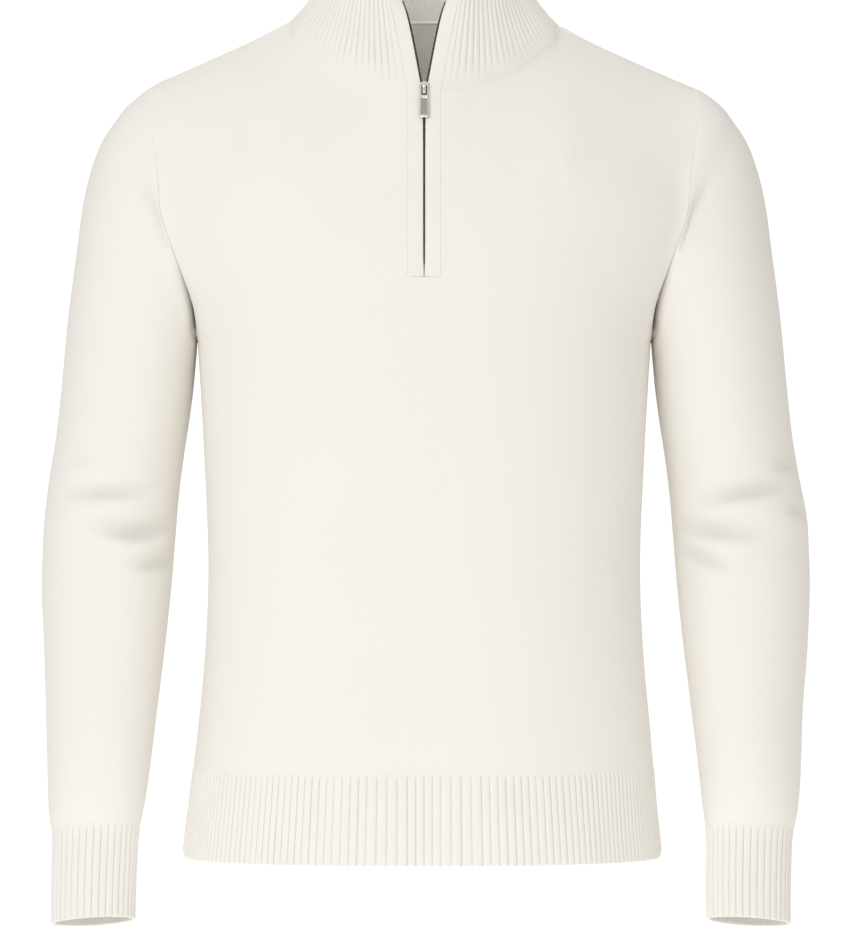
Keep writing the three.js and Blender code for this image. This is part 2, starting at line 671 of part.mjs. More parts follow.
function panelTriangles(name) {
  const { face, points } = panels[name];
  const directions = panelDirections(name);
  const slot = (m, n) => face < 0 && n === body.columns && m >= body.lowerRows + body.slotRow;
  const outer = points;
  const inner = offset(points, directions, -cloth.wall);
  return { triangles: wall({ outer, inner, keep: (m, n) => !slot(m, n) }), directions };
}

// Hem rib: four ribs for each step of the panel above it

function hemTriangles(name, directions) {
  const { face, points } = panels[name];
  const perStep = ribs.hemPerStep * 2;
  const columns = panelColumns(face);
  const steps = columns.length - 1;
  const count = steps * perStep + 1;
  const lower = (height) => range(count).map((n) => {
    const place = n / perStep;
    const middle = body.columns;
    if (place > middle && place < middle + 1) {
      const ends = [1, -1].map((flip) => lowerPoint(face, flip * face, 0, height));
      return between(ends[0], ends[1], place - middle);
    }
    const side = place <= middle ? face : -face;
    const column = place <= middle ? middle - place : place - middle - 1;
    const point = lowerPoint(face, side, column, height);
    if (column === body.columns) point.y += (face * cloth.gap) / 2;
    return point;
  });
  const seam = points[0].map((point) => point.clone().setZ(body.hemSeam - cloth.gap / 2));
  const seamRow = range(count).map((n) => {
    const step = Math.min(Math.floor(n / perStep), steps - 1);
    return between(seam[step], seam[step + 1], n / perStep - step);
  });
  const base = [lower(body.hemEdge), lower(body.hemSeam - ribs.startBelowSeam), seamRow];
  const square = gridNormals(base, false);
  square.forEach((row) => row.forEach((direction, n) => {
    if (n === 0 || n === count - 1) direction.set(Math.sign(direction.x), 0, 0);
  }));
  const outer = base.map((row, m) => row.map((point, n) => {
    const plain = m === 2 || n === 0 || n === count - 1;
    const rise = plain ? 0 : (cloth.ribRise / 2) * (n % 2 === 0 ? -1 : 1);
    return point.clone().addScaledVector(square[m][n], rise);
  }));
  const inner = base.map((row, m) => range(steps + 1).map((step) => {
    const n = step * perStep;
    const direction = m === 2 ? directions[0][step] : square[m][n];
    return row[n].clone().addScaledVector(direction, -cloth.wall);
  }));
  return wall({ outer, inner });
}

// Zip bands and tapes, made for the wearer's left side (+X)

// The edge that a band is sewn to: the side of the zip opening, then the front edge of the collar. Each row
// has the edge point, the direction out of the cloth, the direction towards the mid-line and half of the gap.
function bandRows(panelSide, collarSide) {
  const middle = body.columns + 1;
  const first = body.lowerRows + body.slotRow;
  const open = vector(-1, 0, 0);
  const slotRows = panels.front.points.slice(first).map((row, n, all) => {
    const share = n / (all.length - 1);
    const alongTeeth = n === 0 ? zip.bottomHalf : zip.closedHalf;
    return {
      edge: row[middle].clone(),
      out: panelSide[first + n][middle].clone().setX(0).normalize(),
      inward: open,
      halfGap: lerp(alongTeeth, zip.sliderHalf, smoothstep(share, 0.6, 1)),
    };
  });
  slotRows[0].edge.z += cloth.gap;
  const { base, directions } = collarSide;
  const collarRows = base.slice(1).map((row, n) => {
    const edge = row[0];
    const out = directions[n + 1][0];
    const along = base[Math.min(n + 2, base.length - 1)][0].clone().sub(base[n][0]);
    return { edge, out, inward: out.clone().cross(along).normalize(), halfGap: null };
  });
  return [...slotRows, ...collarRows];
}

function bandTriangles(rows, start, finish, front, back, crown) {
  const stations = [1, 0.5, 0];
  const outer = rows.map(({ edge, out, inward, halfGap }) => {
    const width = halfGap === null ? zip.bandWidth : body.slotHalf - halfGap;
    return stations.map((share) => {
      const across = lerp(start, width - finish, share);
      const rise = front + crown * Math.sin(share * Math.PI);
      return edge.clone().addScaledVector(inward, across).addScaledVector(out, rise);
    });
  });
  const inner = rows.map(({ edge, out, inward, halfGap }) => {
    const width = halfGap === null ? zip.bandWidth : body.slotHalf - halfGap;
    return stations.map((share) => {
      const across = lerp(start, width - finish, share);
      return edge.clone().addScaledVector(inward, across).addScaledVector(out, back);
    });
  });
  return wall({ outer, inner });
}

// Slider and pull tab

const wasm = await Module();
wasm.setup();

function toManifold(geometry) {
  const bare = geometry.clone();
  bare.deleteAttribute('normal');
  bare.deleteAttribute('uv');
  const merged = mergeVertices(bare, 1e-4);
  const vertProperties = new Float32Array(merged.attributes.position.array);
  const triVerts = new Uint32Array(merged.index.array);
  return new wasm.Manifold(new wasm.Mesh({ numProp: 3, vertProperties, triVerts }));
}

function toGeometry(manifold) {
  const { vertProperties, triVerts } = manifold.getMesh();
  const geometry = new THREE.BufferGeometry();
  geometry.setAttribute('position', new THREE.BufferAttribute(new Float32Array(vertProperties), 3));
  geometry.setIndex(new THREE.BufferAttribute(new Uint32Array(triVerts), 1));
  geometry.computeVertexNormals();
  return geometry;
}

// A plate that tapers from its top to its bottom and has round corners, standing off the bands
function plate({ top, bottom, halfTop, halfBottom, corner }, from, to, slot) {
  const shape = new THREE.Shape();
  const trace = (path, high, low, halfHigh, halfLow, round) => {
    path.moveTo(halfHigh - round, high);
    path.lineTo(-halfHigh + round, high);
    path.quadraticCurveTo(-halfHigh, high, -halfHigh, high - round);
    path.lineTo(-halfLow, low + round);
    path.quadraticCurveTo(-halfLow, low, -halfLow + round, low);
    path.lineTo(halfLow - round, low);
    path.quadraticCurveTo(halfLow, low, halfLow, low + round);
    path.lineTo(halfHigh, high - round);
    path.quadraticCurveTo(halfHigh, high, halfHigh - round, high);
  };
  trace(shape, top, bottom, halfTop, halfBottom, corner);
  if (slot) {
    const hole = new THREE.Path();
    trace(hole, slot.top, slot.bottom, slot.half, slot.half, slot.corner);
    shape.holes.push(hole);
  }
  const settings = { depth: to - from, bevelEnabled: false, curveSegments: 4 };
  const geometry = new THREE.ExtrudeGeometry(shape, settings);
  geometry.rotateX(Math.PI / 2);
  geometry.translate(0, -from, 0);
  return geometry;
}

function block(half, bottom, top, from, to) {
  const geometry = new THREE.BoxGeometry(half * 2, to - from, top - bottom);
  geometry.translate(0, -(from + to) / 2, (top + bottom) / 2);
  return geometry;
}

function sliderGeometry() {
  const { clear, plate: face, neck, bridge } = slider;
  const bandBack = -(cloth.wall + zip.bandRise + zip.bandCrown) - zip.tapeGap - zip.tapeWall;
  const front = { from: clear, to: clear + face.wall };
  const rear = { from: bandBack - clear - face.wall, to: bandBack - clear };
  const pieces = [
    plate(face, front.from, front.to),
    plate(face, rear.from, rear.to),
    block(neck.half, neck.bottom, neck.top, rear.from + face.wall / 2, front.from + face.wall / 2),
    block(bridge.half, bridge.top - bridge.post, bridge.top, front.from + face.wall / 2, bridge.over),
    block(bridge.half, bridge.bottom, bridge.bottom + bridge.post, front.from + face.wall / 2, bridge.over),
    block(bridge.half, bridge.bottom, bridge.top, bridge.under, bridge.over),
  ];
  return toGeometry(pieces.map(toManifold).reduce((whole, piece) => whole.add(piece)));
}

function pullGeometry() {
  const { pivot, wall: thick, slot, panel } = pull;
  const from = pivot.out - thick / 2;
  const to = pivot.out + thick / 2;
  const tab = toManifold(plate(pull, from, to, slot));
  const sunk = { ...panel, halfTop: panel.half, halfBottom: panel.half };
  return toGeometry(tab.subtract(toManifold(plate(sunk, to - panel.sunk, to + 1))));
}

// The whole sweater

const sweater = new THREE.Group();

const front = panelTriangles('front');
const back = panelTriangles('back');
sweater.add(clothMesh('front_panel', front.triangles, knit));
sweater.add(clothMesh('back_panel', back.triangles, knit));
sweater.add(clothMesh('hem_rib_front', hemTriangles('front', front.directions), ribKnit));
sweater.add(clothMesh('hem_rib_back', hemTriangles('back', back.directions), ribKnit));

sweater.add(clothMesh('sleeve_left', sleeveTriangles(folds.left), knit));
sweater.add(clothMesh('sleeve_right', sleeveTriangles(folds.right), knit, true));
sweater.add(clothMesh('cuff_left', cuffTriangles(), ribKnit));
sweater.add(clothMesh('cuff_right', cuffTriangles(), ribKnit, true));

const collarParts = collarTriangles();
sweater.add(clothMesh('collar', collarParts.triangles, ribKnit));

const edgeRows = bandRows(front.directions, collarParts);
const bandFront = zip.bandRise;
const bandBack = -cloth.wall;
const band = bandTriangles(edgeRows, cloth.gap, 0, bandFront, bandBack, zip.bandCrown);
const tapeFront = bandBack - zip.tapeGap;
const tape = bandTriangles(edgeRows, zip.tapeInset, zip.tapeInset, tapeFront, tapeFront - zip.tapeWall, 0);
sweater.add(clothMesh('zip_band_left', band, knit));
sweater.add(clothMesh('zip_band_right', band, knit, true));
sweater.add(clothMesh('zip_tape_left', tape, tapeWeave));
sweater.add(clothMesh('zip_tape_right', tape, tapeWeave, true));

// The slider's frame stands on the bands' front, tipped back with them
const seat = edgeRows[body.yokeRows - body.slotRow];
const zipFrame = new THREE.Group();
const seatY = seat.edge.y + (slider.height - seat.edge.z) * Math.tan(degToRad(slider.slope));
zipFrame.position.set(0, seatY - zip.bandRise - zip.bandCrown, slider.height);
zipFrame.rotation.x = -degToRad(slider.slope);
zipFrame.add(meshOf('zip_slider', sliderGeometry(), zipMetal));
zipFrame.add(meshOf('zip_pull', pullGeometry(), zipMetal));
sweater.add(zipFrame);

export default sweater;
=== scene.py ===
import math

import bmesh
import bpy
import numpy as np
from mathutils import Matrix, Vector


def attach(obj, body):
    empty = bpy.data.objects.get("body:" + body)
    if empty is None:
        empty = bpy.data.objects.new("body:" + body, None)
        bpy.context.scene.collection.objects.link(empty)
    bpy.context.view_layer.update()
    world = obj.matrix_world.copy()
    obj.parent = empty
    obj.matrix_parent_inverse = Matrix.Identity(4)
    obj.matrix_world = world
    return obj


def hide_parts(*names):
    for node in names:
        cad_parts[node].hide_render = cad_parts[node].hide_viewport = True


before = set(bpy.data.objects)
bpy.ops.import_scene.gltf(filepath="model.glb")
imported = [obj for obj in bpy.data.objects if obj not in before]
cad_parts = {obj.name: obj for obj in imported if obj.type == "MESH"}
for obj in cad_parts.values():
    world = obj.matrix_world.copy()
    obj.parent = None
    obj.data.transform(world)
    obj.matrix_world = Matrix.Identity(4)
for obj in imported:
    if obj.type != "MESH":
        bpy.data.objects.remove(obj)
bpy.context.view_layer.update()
scene = bpy.context.scene
mm = 0.001

# The garment is worked out in millimetres, front towards -Y, and made in metres at the end.

# Camera and picture: level, far off, looking at the front, as the photo was taken
shot = {
    "width": 853, "height": 938,
    "mmPerPixel": 0.8, "distance": 4500, "across": 1.8, "height0": -355.2, "sensor": 36,
}


def makeCamera():
    camera = bpy.data.cameras.new("studioCamera")
    camera.sensor_width = shot["sensor"]
    camera.lens = shot["sensor"] * shot["distance"] / (shot["height"] * shot["mmPerPixel"])
    camera.clip_end = 50
    view = bpy.data.objects.new("studioCamera", camera)
    view.location = (shot["across"] * mm, -shot["distance"] * mm, shot["height0"] * mm)
    view.rotation_euler = (math.radians(90), 0, 0)
    scene.collection.objects.link(view)
    scene.camera = view


makeCamera()
print("camera set")

# Small tools for tables, curves and surfaces


def smoothStep(x, low, high):
    t = np.clip((np.asarray(x, float) - low) / (high - low), 0, 1)
    return t * t * (3 - 2 * t)


def mix(a, b, share):
    return a + (b - a) * share


def unit(vectors):
    return vectors / np.maximum(np.linalg.norm(vectors, axis=-1, keepdims=True), 1e-12)


# One column of a table, on a smooth curve that never swings past the rows beside it
def readTable(table, key, column, at):
    keys = np.array([row[key] for row in table], float)
    values = np.array([row[column] for row in table], float)
    if keys[0] > keys[-1]:
        keys, values = keys[::-1], values[::-1]
    slopes = np.diff(values) / np.diff(keys)
    tangents = np.concatenate([slopes[:1], np.zeros(len(keys) - 2), slopes[-1:]])
    for n in range(1, len(keys) - 1):
        if slopes[n - 1] * slopes[n] > 0:
            tangents[n] = 2 * slopes[n - 1] * slopes[n] / (slopes[n - 1] + slopes[n])
    place = np.clip(np.asarray(at, float), keys[0], keys[-1])
    n = np.clip(np.searchsorted(keys, place) - 1, 0, len(keys) - 2)
    width = keys[n + 1] - keys[n]
    t = (place - keys[n]) / width
    start = (1 + 2 * t) * (1 - t) ** 2 * values[n] + t * (1 - t) ** 2 * width * tangents[n]
    return start + t * t * (3 - 2 * t) * values[n + 1] + t * t * (t - 1) * width * tangents[n + 1]


# Weights that read a smooth curve through values at the knots, at other places along them
def splineWeights(knots, places):
    knots = np.asarray(knots, float)
    count = len(knots)
    gaps = np.diff(knots)
    slopes = np.zeros((count - 1, count))
    for n in range(count - 1):
        slopes[n, n], slopes[n, n + 1] = -1 / gaps[n], 1 / gaps[n]
    left, right = np.zeros((count, count)), np.zeros((count, count))
    for n in range(1, count - 1):
        left[n, n - 1:n + 2] = gaps[n], 2 * (gaps[n - 1] + gaps[n]), gaps[n - 1]
        right[n] = 3 * (gaps[n] * slopes[n - 1] + gaps[n - 1] * slopes[n])
    for end, near, a, b in ((0, 1, 0, 1), (count - 1, count - 2, count - 2, count - 3)):
        both = gaps[a] + gaps[b]
        left[end, end], left[end, near] = gaps[b], both
        right[end] = ((gaps[a] + 2 * both) * gaps[b] * slopes[a] + gaps[a] ** 2 * slopes[b]) / both
    tangents = np.linalg.solve(left, right)
    places = np.clip(places, knots[0], knots[-1])
    n = np.clip(np.searchsorted(knots, places) - 1, 0, count - 2)
    width = gaps[n][:, None]
    t = ((places - knots[n]) / gaps[n])[:, None]
    one = np.eye(count)
    start = (1 + 2 * t) * (1 - t) ** 2 * one[n] + t * (1 - t) ** 2 * width * tangents[n]
    return start + t * t * (3 - 2 * t) * one[n + 1] + t * t * (t - 1) * width * tangents[n + 1]


# A smooth surface through a net of points, with its rows and columns spaced by their real distances
def surfaceOf(nodes):
    rows = np.concatenate([[0], np.cumsum(np.linalg.norm(np.diff(nodes, axis=0), axis=2).mean(1))])
    columns = np.concatenate([[0], np.cumsum(np.linalg.norm(np.diff(nodes, axis=1), axis=2).mean(0))])
    return {"nodes": nodes, "rows": rows, "columns": columns}


# Points of a surface at rows and columns counted in steps of its net
def sample(surface, rows, columns):
    rowPlaces = np.interp(rows, np.arange(len(surface["rows"])), surface["rows"])
    columnPlaces = np.interp(columns, np.arange(len(surface["columns"])), surface["columns"])
    across = splineWeights(surface["rows"], rowPlaces)
    along = splineWeights(surface["columns"], columnPlaces)
    return np.einsum("ij,jkc,lk->ilc", across, surface["nodes"], along)


# Directions square to a net of points, outwards where columns run round against the clock
def normalsOf(points, ring=False):
    if ring:
        wide = np.concatenate([points[:, -2:-1], points, points[:, 1:2]], axis=1)
        along = wide[:, 2:] - wide[:, :-2]
    else:
        along = np.gradient(points, axis=1)
    return unit(np.cross(along, np.gradient(points, axis=0)))


# Places 0 to count, each step cut into parts, with a few finer ones beside the ends
def steps(count, parts, fine=(), start=True, end=True):
    places = np.linspace(0, count, count * parts + 1)
    extra = [p for p in fine if start] + [count - p for p in fine if end]
    return np.unique(np.round(np.concatenate([places, extra]), 6))


# The cut of the garment, as the solids have it

# the last entry of cloth is how dark the painted shade in the grooves between ribs is
cloth = {
    "wall": 2.4, "ribRise": 1.3, "seamTuck": 0.28, "armholeTuck": 0.14, "seamReach": 1.3,
    "edgeRound": 1.15, "paintedShade": 0.15,
}
body = {
    "hemEdge": -665, "hemSeam": -593, "armpit": -254, "slotHalf": 13, "squareness": 2.3,
    "columns": 11, "neckColumns": 6, "evenRows": 6, "lowerRows": 9, "yokeRows": 12, "slotRow": 4,
}


def tableOf(columns, *rows):
    return [dict(zip(columns.split(), row)) for row in rows]


bodySections = tableOf(
    "height halfWidth front back",
    (-665, 192.6, 117, 116),
    (-593, 184.5, 117, 114),
    (-508, 175.6, 116, 106),
    (-440, 172.4, 116, 99),
    (-370, 174.6, 118, 101),
    (-310, 177.6, 120, 109),
    (-254, 181, 121, 118),
)
shoulder = {"neckHalf": 108, "tipHalf": 220, "drop": 51.6, "curve": 0.93, "seamY": 8}
cut = {
    "front": {"neckReach": 94, "neckRise": -60, "neckCurve": 1.3, "armholeSwing": 62},
    "back": {"neckReach": 62, "neckRise": 7, "neckCurve": 1, "armholeSwing": 59},
}
armholeEdge = tableOf(
    "rise front back",
    (0, 181, 181),
    (0.11, 182.6, 185),
    (0.2, 188, 190),
    (0.32, 196, 197),
    (0.43, 204, 202.5),
    (0.5, 207.9, 205),
    (0.66, 211, 211),
    (0.8, 215.8, 216),
    (0.92, 219, 218.8),
    (1, 220, 220),
)
midLine = tableOf(
    "rise front back",
    (0, 121, 118),
    (0.15, 121.3, 122),
    (0.3, 122.8, 125),
    (0.45, 119, 120),
    (0.6, 111.5, 112),
    (0.75, 103, 101),
    (0.9, 93, 84.5),
    (1, 86, 70),
)
settling = {"passes": 14, "strength": 0.5, "from": 0.5, "full": 0.85}


# The neckline up to the neck point, then the shoulder seam
def topEdge(face, column):
    half, tip = shoulder["neckHalf"], shoulder["tipHalf"]
    if column > body["neckColumns"]:
        share = (column - body["neckColumns"]) / (body["columns"] - body["neckColumns"])
        return mix(half, tip, share), shoulder["seamY"], -shoulder["drop"] * share ** shoulder["curve"]
    piece = cut["front" if face < 0 else "back"]
    start = math.asin(body["slotHalf"] / half)
    angle = mix(start, math.pi / 2, column / body["neckColumns"])
    reach = max(math.cos(angle), 0)
    y = shoulder["seamY"] + face * piece["neckReach"] * reach
    return half * math.sin(angle), y, piece["neckRise"] * reach ** piece["neckCurve"]


def lowerPoint(face, column, height):
    angle = column / body["columns"] * math.pi / 2
    halfWidth = readTable(bodySections, "height", "halfWidth", height)
    depth = readTable(bodySections, "height", "front" if face < 0 else "back", height)
    power = 2 / body["squareness"]
    x = body["slotHalf"] + (halfWidth - body["slotHalf"]) * np.maximum(np.sin(angle), 0) ** power
    y = face * depth * np.maximum(np.cos(angle), 0) ** power
    return x, y, height


# The sections above the armpits shorten towards the shoulder seam and fold over onto it
def yokePoint(face, column, up):
    rise = (1 - math.cos(math.pi * up)) / 2
    name = "front" if face < 0 else "back"
    piece = cut[name]
    seamY, slotHalf = shoulder["seamY"], body["slotHalf"]
    edge = readTable(armholeEdge, "rise", name, rise) - slotHalf
    edgeDepth = piece["armholeSwing"] * 2 * math.sqrt(rise) / math.sqrt((1 + rise) * (1 + rise * rise))
    middleDepth = readTable(midLine, "rise", name, rise) - face * seamY * rise
    squareness = mix(body["squareness"], 2, float(smoothStep(rise, 0, 1)))
    full = edge / (1 - (edgeDepth / middleDepth) ** squareness) ** (1 / squareness)

    def depthAt(across, depth, width, square):
        return depth * max(1 - (across / width) ** square, 0) ** (1 / square)

    topX, topY, topZ = topEdge(face, column)
    lowShare = math.sin(column / body["columns"] * math.pi / 2) ** (2 / body["squareness"])
    topShare = (topX - slotHalf) / (shoulder["tipHalf"] - slotHalf)
    across = edge * mix(lowShare, topShare, float(smoothStep(rise, 0, 0.7)))
    topFull = (shoulder["tipHalf"] - slotHalf) / math.sqrt(1 - (piece["armholeSwing"] / piece["neckReach"]) ** 2)
    topDepth = depthAt(topX - slotHalf, piece["neckReach"], topFull, 2)
    folded = 1 - face * (topY - seamY) / topDepth
    fold = 1 - math.sqrt(1 - min(rise, 1) ** 4)
    depth = depthAt(across, middleDepth, full, squareness) * (1 - fold * folded)
    return slotHalf + across, seamY * rise + face * depth, mix(body["armpit"], topZ, rise)


# Even rows from the hem up, then closer ones under the armpit, where the side edges turn off sharply
panelRows = [row / body["evenRows"] - 1 for row in range(body["evenRows"])] + [-0.08, -0.035, -0.012]
panelRows += [row / body["yokeRows"] for row in range(body["yokeRows"] + 1)]
half = body["columns"]


# The net of a panel, right to left as its wearer sees it for the back, with the yoke evened out
def panelSurface(face):
    columns = [(face, c) for c in range(half, -1, -1)] + [(-face, c) for c in range(half + 1)]
    nodes = np.zeros((len(panelRows), len(columns), 3))
    for m, up in enumerate(panelRows):
        for n, (side, column) in enumerate(columns):
            if up <= 0:
                x, y, z = lowerPoint(face, column, mix(body["armpit"], body["hemSeam"], -up))
            else:
                x, y, z = yokePoint(face, column, up)
            nodes[m, n] = side * x, y, z
    inner = [n for n, (side, column) in enumerate(columns) if 0 < column < half]
    rise = (1 - np.cos(np.pi * np.array(panelRows))) / 2
    pull = settling["strength"] * smoothStep(rise, settling["from"], settling["full"])
    rows = np.arange(body["lowerRows"] + 1, len(panelRows) - 1)
    for _ in range(settling["passes"]):
        around = nodes[rows - 1] + nodes[rows + 1] + np.roll(nodes, 1, 1)[rows] + np.roll(nodes, -1, 1)[rows]
        nodes[rows[:, None], inner] += ((around / 4 - nodes[rows]) * pull[rows][:, None, None])[:, inner]
    return surfaceOf(nodes)


panels = {"front": panelSurface(-1), "back": panelSurface(1)}
print("panels worked out")

# Materials


# An sRGB hex colour as the linear one that the shaders take
def linearColour(code, alpha=1.0):
    parts = [int(code[n:n + 2], 16) / 255 for n in (1, 3, 5)]
    return tuple(p / 12.92 if p <= 0.04045 else ((p + 0.055) / 1.055) ** 2.4 for p in parts) + (alpha,)


# A node with its settings; each input gets a value or the socket that is plugged into it
def addNode(tree, kind, inputs=None, **settings):
    node = tree.nodes.new(kind)
    for key, value in settings.items():
        setattr(node, key, value)
    for key, value in (inputs or {}).items():
        if isinstance(value, bpy.types.NodeSocket):
            tree.links.new(value, node.inputs[key])
        else:
            node.inputs[key].default_value = value
    return node


def startMaterial(name, settings):
    material = bpy.data.materials.new(name)
    material.use_nodes = True
    tree = material.node_tree
    shader = tree.nodes["Principled BSDF"]
    for key, value in settings.items():
        shader.inputs[key].default_value = value
    return material, tree, shader


# Knit cotton: wales of V-shaped stitches, clearer over the shoulders where they stretch, matt with a faint nap.
# Painted shade: stitch clefts, rib grooves, folds and the armpit crease are a little darker than the light alone would
# make them.
def knitMaterial(name, look):
    material, tree, shader = startMaterial(name, {
        "Roughness": look["roughness"], "Specular IOR Level": 0.2,
        "Sheen Weight": look["sheen"], "Sheen Roughness": 0.5, "Sheen Tint": linearColour("#fffaf2"),
    })
    halfWale = look["wale"] * mm / 2
    flat = addNode(tree, "ShaderNodeUVMap", uv_map="knit")
    cloth2 = addNode(tree, "ShaderNodeSeparateXYZ", {0: flat.outputs[0]})
    groove = addNode(tree, "ShaderNodeMath", {0: cloth2.outputs[0], 1: halfWale}, operation="PINGPONG")
    course = addNode(tree, "ShaderNodeMath", {0: cloth2.outputs[1], 1: 2 * math.pi / (look["course"] * mm)},
                     operation="MULTIPLY")
    slant = addNode(tree, "ShaderNodeMath",
                    {0: groove.outputs[0], 1: look["slant"] * math.pi / halfWale, 2: course.outputs[0]},
                    operation="MULTIPLY_ADD")
    legs = addNode(tree, "ShaderNodeMath", {0: slant.outputs[0]}, operation="COSINE")
    share = addNode(tree, "ShaderNodeMath", {0: groove.outputs[0], 1: halfWale}, operation="DIVIDE")
    crown = addNode(tree, "ShaderNodeMath", {0: share.outputs[0], 1: 0.45}, operation="POWER")
    stitch = addNode(tree, "ShaderNodeMath", {0: legs.outputs[0], 1: look["legDepth"], 2: crown.outputs[0]},
                     operation="MULTIPLY_ADD")
    place = addNode(tree, "ShaderNodeTexCoord")
    fuzz = addNode(tree, "ShaderNodeTexNoise", {"Vector": place.outputs["Object"], "Scale": 1400, "Detail": 2})
    relief = addNode(tree, "ShaderNodeMath", {0: fuzz.outputs[0], 1: 0.35, 2: stitch.outputs[0]},
                     operation="MULTIPLY_ADD")
    level = addNode(tree, "ShaderNodeSeparateXYZ", {0: place.outputs["Object"]})
    strength = addNode(tree, "ShaderNodeMapRange",
                       {"Value": level.outputs[2], "From Min": -0.25, "From Max": -0.1,
                        "To Min": look["bump"] * look["calm"], "To Max": look["bump"]})
    patches = addNode(tree, "ShaderNodeTexNoise", {"Vector": place.outputs["Object"], "Scale": 26, "Detail": 2})
    patchy = addNode(tree, "ShaderNodeMapRange", {"Value": patches.outputs[0], "From Min": 0.4, "From Max": 0.62,
                                                  "To Min": 0.25, "To Max": 1.6})
    uneven = addNode(tree, "ShaderNodeMath", {0: strength.outputs[0], 1: patchy.outputs[0]}, operation="MULTIPLY")
    bump = addNode(tree, "ShaderNodeBump", {"Strength": uneven.outputs[0], "Distance": look["relief"] * mm,
                                            "Height": relief.outputs[0]})
    cloud = addNode(tree, "ShaderNodeTexNoise", {"Vector": place.outputs["Object"], "Scale": 9, "Detail": 3})
    drift = addNode(tree, "ShaderNodeMix", {0: cloud.outputs[0], 6: linearColour(look["warm"]),
                                            7: linearColour(look["colour"])}, data_type="RGBA")
    # painted shade in the clefts between stitches: the yarn's colour goes a little towards the shade colour where the
    # stitch is low
    depth = addNode(tree, "ShaderNodeMapRange", {"Value": stitch.outputs[0], "From Max": 0.55,
                                                 "To Min": look["cleft"], "To Max": 0})
    shadedYarn = addNode(tree, "ShaderNodeMix", {0: depth.outputs[0], 6: drift.outputs[2],
                                           7: linearColour(look["shade"])}, data_type="RGBA")
    # painted shade in rib grooves, folds and the armpit crease: a per-point attribute mixes the yarn towards the dark
    # shade colour
    paintedShade = addNode(tree, "ShaderNodeAttribute", attribute_name="paintedShade")
    ribs = addNode(tree, "ShaderNodeMix", {0: paintedShade.outputs["Fac"], 6: shadedYarn.outputs[2],
                                           7: linearColour(look["shade"])}, data_type="RGBA")
    tree.links.new(ribs.outputs[2], shader.inputs["Base Color"])
    tree.links.new(bump.outputs[0], shader.inputs["Normal"])
    return material


# shade is the dark colour that all painted shade on the knit goes towards; the clefts between stitches are painted a
# little towards it
jerseyLook = {
    "colour": "#f5f2ec", "warm": "#f3efe8", "shade": "#6b6152", "cleft": 0.035, "roughness": 0.9, "sheen": 0.08,
    "wale": 2.4, "course": 1.9, "slant": 1.1, "legDepth": 0.16, "bump": 0.28, "relief": 0.3, "calm": 0.2,
}
jersey = knitMaterial("fineJerseyKnit", jerseyLook)
ribKnit = knitMaterial("ribKnit", {**jerseyLook, "wale": 1.4, "calm": 0.8})
bandKnit = knitMaterial("bandKnit", {**jerseyLook, "wale": 1.7, "course": 1.5, "calm": 0.8})


# Woven zip tape: a fine slanting twill, a little greyer and smoother than the knit
def tapeMaterial():
    material, tree, shader = startMaterial("wovenZipTape", {"Roughness": 0.8, "Specular IOR Level": 0.3})
    flat = addNode(tree, "ShaderNodeUVMap", uv_map="knit")
    turned = addNode(tree, "ShaderNodeMapping", {"Vector": flat.outputs[0], "Rotation": (0, 0, math.radians(38))})
    twill = addNode(tree, "ShaderNodeTexWave", {"Vector": turned.outputs[0], "Scale": 260, "Distortion": 0.4})
    colour = addNode(tree, "ShaderNodeMix", {0: twill.outputs["Fac"], 6: linearColour("#d9d4c8"),
                                             7: linearColour("#ece8de")}, data_type="RGBA")
    bump = addNode(tree, "ShaderNodeBump", {"Strength": 0.4, "Distance": 0.15 * mm,
                                            "Height": twill.outputs["Fac"]})
    tree.links.new(colour.outputs[2], shader.inputs["Base Color"])
    tree.links.new(bump.outputs[0], shader.inputs["Normal"])
    return material


# Plated zinc: bright where it is polished, grey where it is left brushed, with fine rub marks
def metalMaterial(name, colour, bright, low, high, scale):
    material, tree, shader = startMaterial(name, {"Metallic": 1.0})
    place = addNode(tree, "ShaderNodeTexCoord")
    turned = addNode(tree, "ShaderNodeMapping", {"Vector": place.outputs["Object"], "Scale": (1, 1, 0.15)})
    rubbed = addNode(tree, "ShaderNodeTexNoise", {"Vector": turned.outputs[0], "Scale": scale, "Detail": 4})
    rough = addNode(tree, "ShaderNodeMapRange", {"Value": rubbed.outputs[0], "To Min": low, "To Max": high})
    tone = addNode(tree, "ShaderNodeMix", {0: rubbed.outputs[0], 6: linearColour(colour),
                                           7: linearColour(bright)}, data_type="RGBA")
    bump = addNode(tree, "ShaderNodeBump", {"Strength": 0.04, "Distance": 0.05 * mm, "Height": rubbed.outputs[0]})
    tree.links.new(rough.outputs[0], shader.inputs["Roughness"])
    tree.links.new(tone.outputs[2], shader.inputs["Base Color"])
    tree.links.new(bump.outputs[0], shader.inputs["Normal"])
    return material


# Cotton sewing thread: two plies twisted round each other, the cloth's colour a shade down
def threadMaterial():
    material, tree, shader = startMaterial("sewingThread", {"Roughness": 0.7, "Sheen Weight": 0.2})
    place = addNode(tree, "ShaderNodeTexCoord")
    turned = addNode(tree, "ShaderNodeMapping", {"Vector": place.outputs["Object"], "Rotation": (0, 0.7, 0.5)})
    ply = addNode(tree, "ShaderNodeTexWave", {"Vector": turned.outputs[0], "Scale": 700, "Distortion": 0.5})
    colour = addNode(tree, "ShaderNodeMix", {0: ply.outputs["Fac"], 6: linearColour("#b5ac9e"),
                                             7: linearColour("#dcd6ca")}, data_type="RGBA")
    bump = addNode(tree, "ShaderNodeBump", {"Strength": 0.5, "Distance": 0.1 * mm, "Height": ply.outputs["Fac"]})
    tree.links.new(colour.outputs[2], shader.inputs["Base Color"])
    tree.links.new(bump.outputs[0], shader.inputs["Normal"])
    return material


